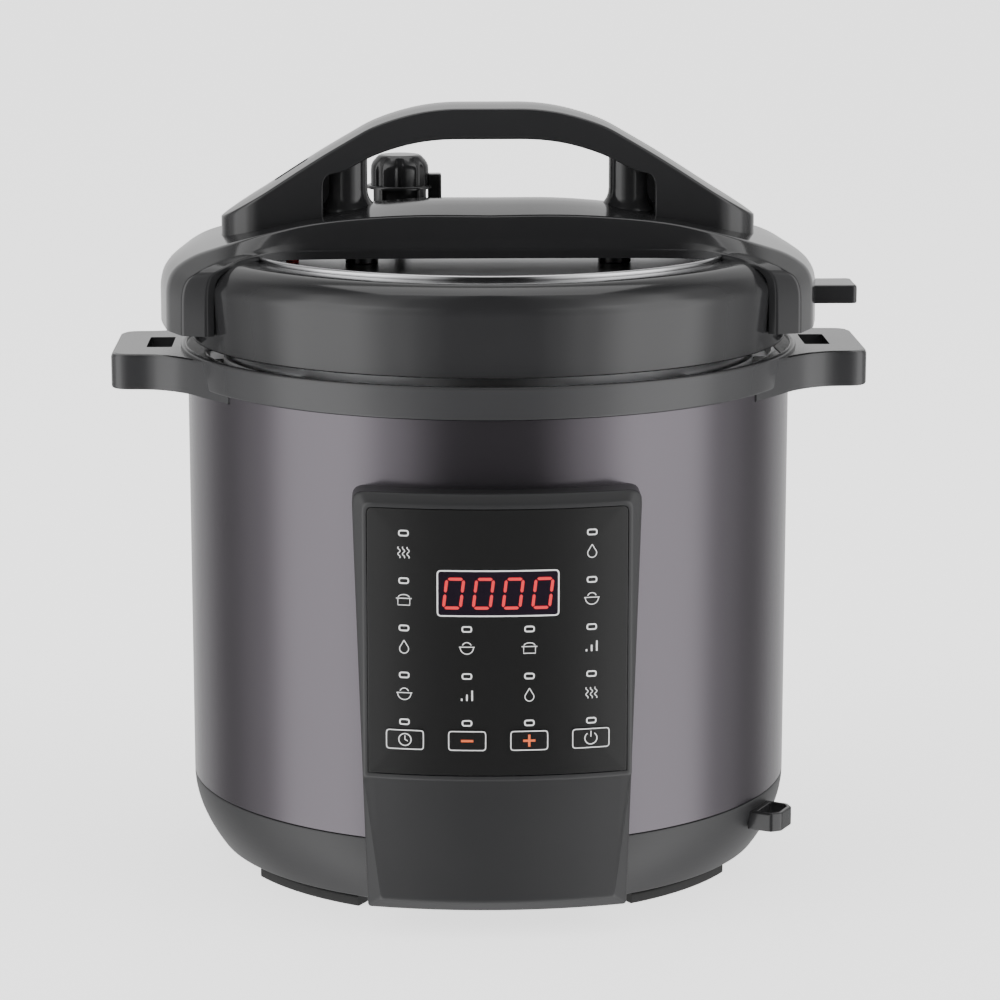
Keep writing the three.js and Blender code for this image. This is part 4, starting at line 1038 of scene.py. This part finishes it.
@dataclass
class Bridge:
    """The moulding across the lid: a crown over a bevelled front, with a wide leg at each side.

    Its long edges are smooth lines from a leg's foot to the middle, and its section joins them:
    spine, crown edge, two creases of the front, lower edge and the hidden underside.

    Attributes:
        steps: samples for each control point of an edge.
        bore_radius: radius of the well of the float valve.
        post_spacing: distance of a post from the middle.
    """

    steps: int = 10
    bore_radius: float = 4.2
    post_spacing: float = 57.5

    def edges(self, foot: float, top: float, reach: float) -> Array:
        """Control points of the edges of the right-hand front quarter.

        Args:
            foot: level of the legs' feet.
            top: level of the spine in the middle.
            reach: distance of the legs' outside from the axis.

        Returns:
            Edges by control point by (x, y, z), from the spine round the front to the underside.
        """
        leg = foot + 6
        spine = [
            [reach, 0, foot], [reach, 0, leg], [reach, 0, top - 31], [138, 0, top - 22.5],
            [121, 0, top - 17.4], [102, 0, top - 12.2], [76, 0, top - 6], [38, 0, top], [0, 0, top],
        ]
        crown = [
            [143.6, -45, foot], [143.6, -45, leg], [143.4, -46, top - 30], [133, -46, top - 21.5],
            [118, -44, top - 17], [100, -36.5, top - 12.6], [76, -33, top - 8], [38, -32, top - 5.5],
            [0, -32, top - 6],
        ]
        upper = [
            [136, -61.5, foot], [136, -61.5, leg], [135.5, -63, top - 31], [127, -62.5, top - 25.5],
            [117, -56, top - 21.5], [104, -44.5, top - 19], [82, -36, top - 17.5], [38, -34, top - 16],
            [0, -34, top - 16],
        ]
        lower = [
            [125.2, -64.5, foot], [125.2, -64.5, leg], [124.5, -65, top - 29], [118.5, -63.5, top - 25],
            [111, -55.5, top - 21.8], [100, -43.5, top - 20.8], [82, -36.8, top - 20.3],
            [38, -36, top - 20.3], [0, -36, top - 20.3],
        ]
        inner = [
            [121.6, -62.8, foot], [121.6, -62.8, leg], [121.5, -62.8, top - 31], [115.5, -61, top - 25.5],
            [107.5, -52, top - 24.6], [98, -41, top - 24.6], [80, -35.5, top - 24.6], [38, -35, top - 24.6],
            [0, -35, top - 24.6],
        ]
        hidden = [
            [136, 0, foot], [136, 0, leg], [135, 0, top - 38], [126, 0, top - 30], [112, 0, top - 24],
            [100, 0, top - 20], [76, 0, top - 16], [38, 0, top - 14], [0, 0, top - 14],
        ]
        return np.array([spine, crown, upper, lower, inner, hidden], float)

    def build(self) -> None:
        """Builds the bridge and the two posts under it."""
        low, high = box_of("lid_bridge")
        lines = smooth_line(self.edges(low[2], high[2], high[0]), self.steps)
        mirrored = lines[::-1][1:-1] * np.array([1, -1, 1])
        half = np.concatenate([lines, mirrored]).transpose(1, 0, 2)
        other = half[::-1][1:] * np.array([-1, 1, 1])
        sections = np.concatenate([half, other])
        along = np.linspace(-1, 1, len(sections))
        legward = np.clip(np.abs(along) * 2.2 - 1.0, 0, 1)
        reach = np.tile([40, 2, 1.2, 0.9, 0.6, 3, 0.6, 0.9, 1.2, 2], (len(sections), 1))
        reach[:, [1, 9]] += 3 * legward[:, None]
        grid = soften(sections, reach, 5, 2)
        pin_low, pin_high = box_of("float_valve_pin")
        bore = [[0, low[2]], [self.bore_radius, low[2]], [self.bore_radius, high[2] + 5], [0, high[2] + 5]]
        well = turned(bore, parts=48).moved(x=(pin_low[0] + pin_high[0]) / 2)
        arch = weave(grid, around=False, loop=True)
        add_piece("lid_bridge_moulding", [arch], GLOSS, "lid", ["lid_bridge"], crease=50, holes=[well])
        plate = box_of("lid_pan")[1][2]
        post = turned([[0, plate], [7.5, plate], [7.5, plate + 12], [0, plate + 12]], 0.5, parts=48)
        posts = [post.moved(x=side * self.post_spacing) for side in (-1, 1)]
        add_piece("bridge_posts", posts, GLOSS, "lid", crease=50)

        low, high = box_of("lid_tab")
        root = 144.0
        edge = rectangle((root + high[0]) / 2, (low[1] + high[1]) / 2, high[0] - root, high[1] - low[1])
        shape = outline(edge, 2.5, between=2)
        tab = plate_of(np.array([155.0, 0.0]), shape, low[2], high[2], [0, 0.8, 1.4, 0], between=2)
        add_piece("stand_tab", [tab], GLOSS, "lid", ["lid_tab"])


@dataclass
class Grip:
    """The arched grip on the bridge, with round ends and a column at each side.

    Attributes:
        half_depth: half the grip's depth, and the radius of its round ends.
        crown: rise of its top between its edges.
        column_x: distance of a column from the middle.
        column_radius: radius of a column.
        flare: how far a column's foot spreads.
        web_length: length of the wall between a column and the grip's end.
        web_half_depth: half the depth of that wall.
        slot_length: length of the viewing slot.
        slot_shift: from the float valve's pin to the slot's middle.
    """

    half_depth: float = 20.0
    crown: float = 1.9
    column_x: float = 64.0
    column_radius: float = 9.3
    flare: float = 4.5
    web_length: float = 14.0
    web_half_depth: float = 5.0
    slot_length: float = 15.0
    slot_shift: float = 0.0

    def build(self) -> None:
        """Builds the arch, its viewing slot over the float valve, and the columns."""
        high = box_of("lid_grip")[1]
        top, tip = high[2] - self.crown, high[0]
        bend = tip - self.half_depth
        upper = [
            [0, top], [26, top], [50, top - 6.5], [64, top - 14.6], [74, top - 20.4], [82, top - 25.4],
            [88, top - 29.2], [94, top - 33.1], [bend, top - 37.6],
        ]
        under = [
            [0, top - 13.6], [28, top - 13.6], [51, top - 20], [66, top - 28.5], [74.5, top - 29.5],
            [74.5, top - 42], [74.5, top - 56], [88, top - 58], [bend, top - 60],
        ]
        lines = smooth_line(np.array([upper, under], float), 9)
        turn = np.linspace(0, np.pi / 2, 13)[1:]
        end_x = bend + self.half_depth * np.sin(turn)
        ends = np.stack(
            [
                np.column_stack([end_x, top - 37.6 - (end_x - bend) * 0.6]),
                np.column_stack([end_x, top - 60 - (end_x - bend) * 0.1]),
            ]
        )
        lines = np.concatenate([lines, ends], axis=1)
        half = self.half_depth * np.concatenate([np.ones(lines.shape[1] - len(turn)), np.cos(turn)])
        zero = np.zeros_like(half)
        rise = self.crown * half / self.half_depth
        (upper_x, upper_z), (under_x, under_z) = lines[0].T, lines[1].T
        corners = [
            (upper_x, -half, upper_z),
            (upper_x, zero, upper_z + rise),
            (upper_x, half, upper_z),
            (under_x, half, under_z),
            (under_x, -half, under_z),
        ]
        right = np.stack([np.column_stack(corner) for corner in corners], axis=1)
        left = right[::-1][:-1] * np.array([-1, 1, 1])
        grid = soften(np.concatenate([left, right]), [1.6, 30, 1.6, 1.6, 1.6], 5, 3)
        arch = weave(grid, around=False, loop=True, capped=False)
        skins = []
        for side in (-1, 1):
            skins.append(self.column(high[2]).moved(x=side * self.column_x))
            skins.append(self.web(high[2]).moved(x=side * (self.column_x + self.web_length / 2)))
        pin_low, pin_high = box_of("float_valve_pin")
        middle = (pin_low[0] + pin_high[0]) / 2 + self.slot_shift
        spot = outline(rectangle(middle, 0, self.slot_length, 8), 1.5, between=1)
        window = slab([(spot, pin_high[2] - 1), (spot, high[2])])
        add_piece("grip_arch", [arch], GLOSS, "lid", ["lid_grip"], crease=50, holes=[window])
        add_piece("grip_columns", skins, GLOSS, "lid", crease=50)
        dress(RED, "float_valve_pin")

    def web(self, top: float) -> Skin:
        """The recessed wall between a column and the grip's end."""
        shape = rectangle(0, 0, self.web_length, 2 * self.web_half_depth)
        return plate_of(np.zeros(2), shape, top - 51, top - 24)

    def column(self, top: float) -> Skin:
        """A column whose foot spreads onto the bridge."""
        radius = self.column_radius
        foot = top - 51
        profile = [
            [0, foot], [radius + self.flare, foot], [radius + self.flare, foot + 3], [radius, foot + 8],
            [radius, top - 24], [0, top - 24],
        ]
        return turned(profile, [0, 0.5, 1.5, 4, 1, 0], parts=64)


@dataclass
class SteamValve:
    """The weighted steam knob: a fluted cap on a skirt with steam windows, and a lever.

    Attributes:
        cap_radius: radius of the cap.
        flutes: number of flutes round the cap.
        flute_depth: depth of a flute.
        skirt_radius: radius of the skirt.
        window_half: half width of a window in the skirt.
    """

    cap_radius: float = 13.7
    flutes: int = 8
    flute_depth: float = 0.9
    skirt_radius: float = 15.5
    window_half: float = 9.5

    def build(self) -> None:
        """Builds the knob on its own body."""
        low, high = box_of("steam_valve_knob")
        pipe_low, pipe_high = box_of("steam_pipe")
        x, y = (pipe_low[0] + pipe_high[0]) / 2, (pipe_low[1] + pipe_high[1]) / 2
        bottom, top = low[2], high[2]
        skirt_top = bottom + 15
        outer, inner = self.skirt_radius, self.skirt_radius - 2
        skirt = turned(
            [[inner, bottom], [outer, bottom], [outer, skirt_top], [inner, skirt_top]],
            [0.3, 0.6, 1.2, 0.3],
            parts=96,
        ).moved(x=x, y=y)
        pane = outline(rectangle(0, 0, 60, 2 * self.window_half), 0.5, between=1)
        hole = slab([(pane, bottom + 3), (pane, skirt_top - 1.6)])
        windows = [hole.spun(angle).moved(x=x, y=y) for angle in (0, 90)]
        add_piece("steam_knob_skirt", [skirt], GLOSS, "steam_knob", ["steam_valve_knob"], holes=windows)
        foot, bore, hub_radius = bottom + 0.5, 5.6, 12.4
        hub = turned(
            [[bore, foot], [hub_radius, foot], [hub_radius, skirt_top], [bore, skirt_top]], 0.3, parts=64
        )
        radius = self.cap_radius
        cap = turned(
            [
                [0, skirt_top - 0.5], [radius, skirt_top - 0.5], [radius, top - 4.5],
                [radius - 4, top], [0, top],
            ],
            [0, 0.4, 2.4, 1.6, 0],
            parts=192,
        )
        px, py, pz = cap.points.T
        around = np.arctan2(py, px)
        depth = self.flute_depth * np.clip(np.cos(self.flutes * around) * 1.6 - 0.4, 0, 1)
        near_edge = np.clip((np.hypot(px, py) - radius + 3.2) / 3.2, 0, 1)
        scale = 1 - depth * near_edge / radius
        cap = Skin(np.column_stack([px * scale, py * scale, pz]), cap.faces)
        shape = outline(rectangle(16.3, 0, 6.4, 8), 1.2, between=1)
        lever = plate_of(np.array([16.3, 0.0]), shape, bottom + 6, skirt_top + 5, [0, 0.6, 1.0, 0])
        skins = [skin.moved(x=x, y=y) for skin in (hub, cap, lever)]
        add_piece("steam_knob_cap", skins, GLOSS, "steam_knob")


@dataclass
class SideFittings:
    """The spoon holder, the condensation cup and the power inlet.

    Attributes:
        spoon_angle: place of the spoon holder round the body, in degrees.
        cup_half: half the angle that the cup covers, in degrees.
    """

    base: Base
    spoon_angle: float = -28.0
    cup_half: float = 17.0

    def build(self) -> None:
        """Builds the three fittings and dresses the small pieces round them."""
        self.build_spoon_holder()
        self.build_cup()
        self.build_inlet()
        dress(SATIN, "bottom_cover", "cup_bracket", "pressure_switch")
        dress(STEEL, "cover_screw_1", "cover_screw_2", "cover_screw_3")
        dress(STEEL, "inlet_pin_line", "inlet_pin_earth", "inlet_pin_neutral")

    def build_spoon_holder(self) -> None:
        """A loop whose ends slant towards its front."""
        low, high = box_of("spoon_holder")
        near = self.base.radius - 2.0
        tip = self.base.radius + 13
        outer = np.array([[near, -10], [tip - 3.5, -10], [tip, -6]])
        inner = np.array([[near + 4, -7.8], [tip - 4.6, -7.8], [tip - 2.2, -5]])
        outer_line, inner_line = (
            outline(np.concatenate([half, half[::-1] * [1, -1]]), soft, between=2)
            for half, soft in ((outer, 1.0), (inner, 0.8))
        )
        rings = [(inner_line, low[2]), (outer_line, low[2]), (outer_line, high[2]), (inner_line, high[2])]
        skin = stacked(rings, [0.4, 0.6, 0.8, 0.5], closed=True).spun(self.spoon_angle)
        add_piece("spoon_loop", [skin], GLOSS, "base", ["spoon_holder"])

    def build_cup(self) -> None:
        """The open cup: a flat tray bent round the body, x = (r + h) sin(s / r), y = (r + h) cos(s / r)."""
        low, high = box_of("condensation_cup")
        inner = box_of("cup_bracket")[1][1] + 0.6
        outer, wall = high[1], 1.6
        width = 2 * np.radians(self.cup_half) * inner
        middle = (inner + outer) / 2
        shape = outline(rectangle(0, middle, width, outer - inner), [1, 1, 4, 4], between=10)
        hollow = rectangle(0, middle, width - 2 * wall, outer - inner - 2 * wall)
        room = outline(hollow, [0.6, 0.6, 3, 3], between=10)
        centre = np.array([0.0, middle])
        rings = [
            (centre, low[2]), (shape, low[2]), (shape, high[2]), (room, high[2]), (room, low[2] + wall),
            (centre, low[2] + wall),
        ]
        skin = stacked(rings, [0, 1.2, 0.5, 0.5, 1.0, 0], between=6)
        s, radius, z = skin.points.T
        angle = s / inner
        skin = Skin(np.column_stack([radius * np.sin(angle), radius * np.cos(angle), z]), skin.faces)
        add_piece("clear_cup", [skin], CLEAR, "cup", ["condensation_cup"])

    def build_inlet(self) -> None:
        """The power inlet: a socket with a rounded flange."""
        low, high = box_of("power_inlet")
        middle = (low[2] + high[2]) / 2
        width, height = high[0] - low[0], high[2] - low[2]
        chamfer = [1.2, 1.2, 5, 5]
        shape = outline(rectangle(0, middle, width, height), 1.5, between=2)
        flange = outline(rectangle(0, middle, width + 5, height + 5), 2.5, between=2)
        room = outline(rectangle(0, middle, width - 4, height - 4), chamfer, between=2)
        centre = np.array([0.0, middle])
        front, back = high[1], low[1]
        rings = [
            (centre, back), (shape, back), (shape, front - 1.5), (flange, front - 1.5), (flange, front + 0.4),
            (room, front + 0.4), (room, back + 3), (centre, back + 3),
        ]
        skin = upright(stacked(rings, [0, 0.5, 0.1, 0.4, 0.8, 0.5, 0.3, 0]))
        add_piece("inlet_socket", [skin], SATIN, "base", ["power_inlet"])


# ---- Studio ----


@dataclass
class Studio:
    """A pale floor, soft light and the camera.

    Attributes:
        eye: place of the camera, in millimetres.
        heading: its turn to the right, in radians.
        pitch: its tilt downwards, in radians.
        lens: focal length in millimetres.
        surround: brightest level of the surround.
        band_places: compass angles from the front, as shares of half a turn.
        band_levels: share of the brightest level at each of those angles.
    """

    eye: tuple[float, float, float] = (-42.6, -1572.7, 476.6)
    heading: float = 0.0305
    pitch: float = 0.197745
    lens: float = 125.09
    surround: float = 2.6
    band_places: tuple[float, ...] = (0.0, 0.095, 0.125, 0.2, 0.31, 0.44, 0.54, 0.66, 0.8, 1.0)
    band_levels: tuple[float, ...] = (0.008, 0.01, 0.12, 0.4, 1.0, 0.95, 0.3, 0.12, 0.28, 0.42)

    def build(self) -> None:
        """Builds the floor, the lights and the camera."""
        self.build_camera()
        self.build_floor()
        self.build_world()
        self.add_light("overhead_panel", (0.0, 0.35, 2.1), (1.8, 1.2), 12)

    def build_camera(self) -> None:
        """The camera, at the viewing angle of the front."""
        data = bpy.data.cameras.new("camera")
        data.lens = self.lens
        data.sensor_width = 36
        camera = bpy.data.objects.new("camera", data)
        bpy.context.collection.objects.link(camera)
        camera.location = Vector(self.eye) * MM
        level = np.cos(self.pitch)
        ahead = Vector((np.sin(self.heading) * level, np.cos(self.heading) * level, -np.sin(self.pitch)))
        camera.rotation_euler = ahead.to_track_quat("-Z", "Y").to_euler()
        bpy.context.scene.camera = camera

    def build_floor(self) -> None:
        """A wide pale floor."""
        size = 30.0
        mesh = bpy.data.meshes.new("floor")
        corners = [(*corner, 0) for corner in rectangle(0, 0, 2 * size, 2 * size)]
        mesh.from_pydata(corners, [], [(0, 1, 2, 3)])
        floor = bpy.data.objects.new("floor", mesh)
        bpy.context.collection.objects.link(floor)
        made = bpy.data.materials.new("pale_floor")
        made.use_nodes = True
        shader = made.node_tree.nodes["Principled BSDF"]
        shader.inputs["Base Color"].default_value = (0.9, 0.9, 0.9, 1)
        shader.inputs["Roughness"].default_value = 0.9
        shader.inputs["Specular IOR Level"].default_value = 0.0
        shader.inputs["Emission Color"].default_value = (1, 1, 1, 1)
        shader.inputs["Emission Strength"].default_value = 1.7
        mesh.materials.append(made)
        floor.visible_glossy = False

    def build_world(self) -> None:
        """A surround lit by the compass angle from the front: soft bands and a dark gap before the object."""
        world = bpy.data.worlds.new("studio")
        bpy.context.scene.world = world
        world.use_nodes = True
        nodes, links = world.node_tree.nodes, world.node_tree.links
        background = nodes["Background"]
        background.inputs["Color"].default_value = (1, 1, 1, 1)
        place = nodes.new("ShaderNodeTexCoord").outputs["Generated"]
        parts = nodes.new("ShaderNodeSeparateXYZ")
        links.new(place, parts.inputs["Vector"])
        aside = self.add_sum(nodes, links, "ABSOLUTE", parts.outputs["X"])
        ahead = self.add_sum(nodes, links, "MULTIPLY", parts.outputs["Y"], -1.0)
        angle = self.add_sum(nodes, links, "ARCTAN2", aside, ahead)
        share = self.add_sum(nodes, links, "DIVIDE", angle, np.pi)
        bands = nodes.new("ShaderNodeValToRGB")
        bands.color_ramp.interpolation = "EASE"
        stops = list(zip(self.band_places, self.band_levels))
        for place_at, level in stops[1:-1]:
            bands.color_ramp.elements.new(place_at).color = (level, level, level, 1)
        for element, (place_at, level) in zip((bands.color_ramp.elements[0], bands.color_ramp.elements[-1]),
                                              (stops[0], stops[-1])):
            element.position = place_at
            element.color = (level, level, level, 1)
        links.new(share, bands.inputs["Fac"])
        height = nodes.new("ShaderNodeMapRange")
        height.interpolation_type = "SMOOTHSTEP"
        height.inputs["From Min"].default_value = 0.6
        height.inputs["From Max"].default_value = 0.85
        height.inputs["To Min"].default_value = self.surround
        height.inputs["To Max"].default_value = self.surround * 0.3
        links.new(parts.outputs["Z"], height.inputs["Value"])
        links.new(self.add_sum(nodes, links, "MULTIPLY", bands.outputs["Color"], height.outputs["Result"]),
                  background.inputs["Strength"])

    @staticmethod
    def add_sum(nodes: object, links: object, kind: str, first: object, second: object = None) -> object:
        """Adds a sum to the nodes.

        Args:
            nodes: nodes of the tree.
            links: links of the tree.
            kind: name of the sum.
            first: first output to reckon with.
            second: second output, or a number.

        Returns:
            The output of the sum.
        """
        node = nodes.new("ShaderNodeMath")
        node.operation = kind
        links.new(first, node.inputs[0])
        if isinstance(second, (int, float)):
            node.inputs[1].default_value = second
        elif second is not None:
            links.new(second, node.inputs[1])
        return node.outputs["Value"]

    @staticmethod
    def add_light(name: str, place: tuple, size: tuple, power: float) -> None:
        """A rectangular soft light that faces the middle of the object.

        Args:
            name: name of the light.
            place: where it stands, in metres.
            size: width and height in metres.
            power: watts.
        """
        data = bpy.data.lights.new(name, "AREA")
        data.shape = "RECTANGLE"
        data.size, data.size_y = size
        data.energy = power
        light = bpy.data.objects.new(name, data)
        bpy.context.collection.objects.link(light)
        light.location = place
        aim = Vector((0, 0, 0.17)) - Vector(place)
        light.rotation_euler = aim.to_track_quat("-Z", "Y").to_euler()


def main() -> None:
    """Builds the studio and every sub-assembly."""
    Studio().build()
    base = Base()
    for part in (base, Pots(), Panel(base), Lid(), Bridge(), Grip(), SteamValve(), SideFittings(base)):
        part.build()
        LOG.info("built %s", type(part).__name__)


if __name__ == "__main__":
    main()
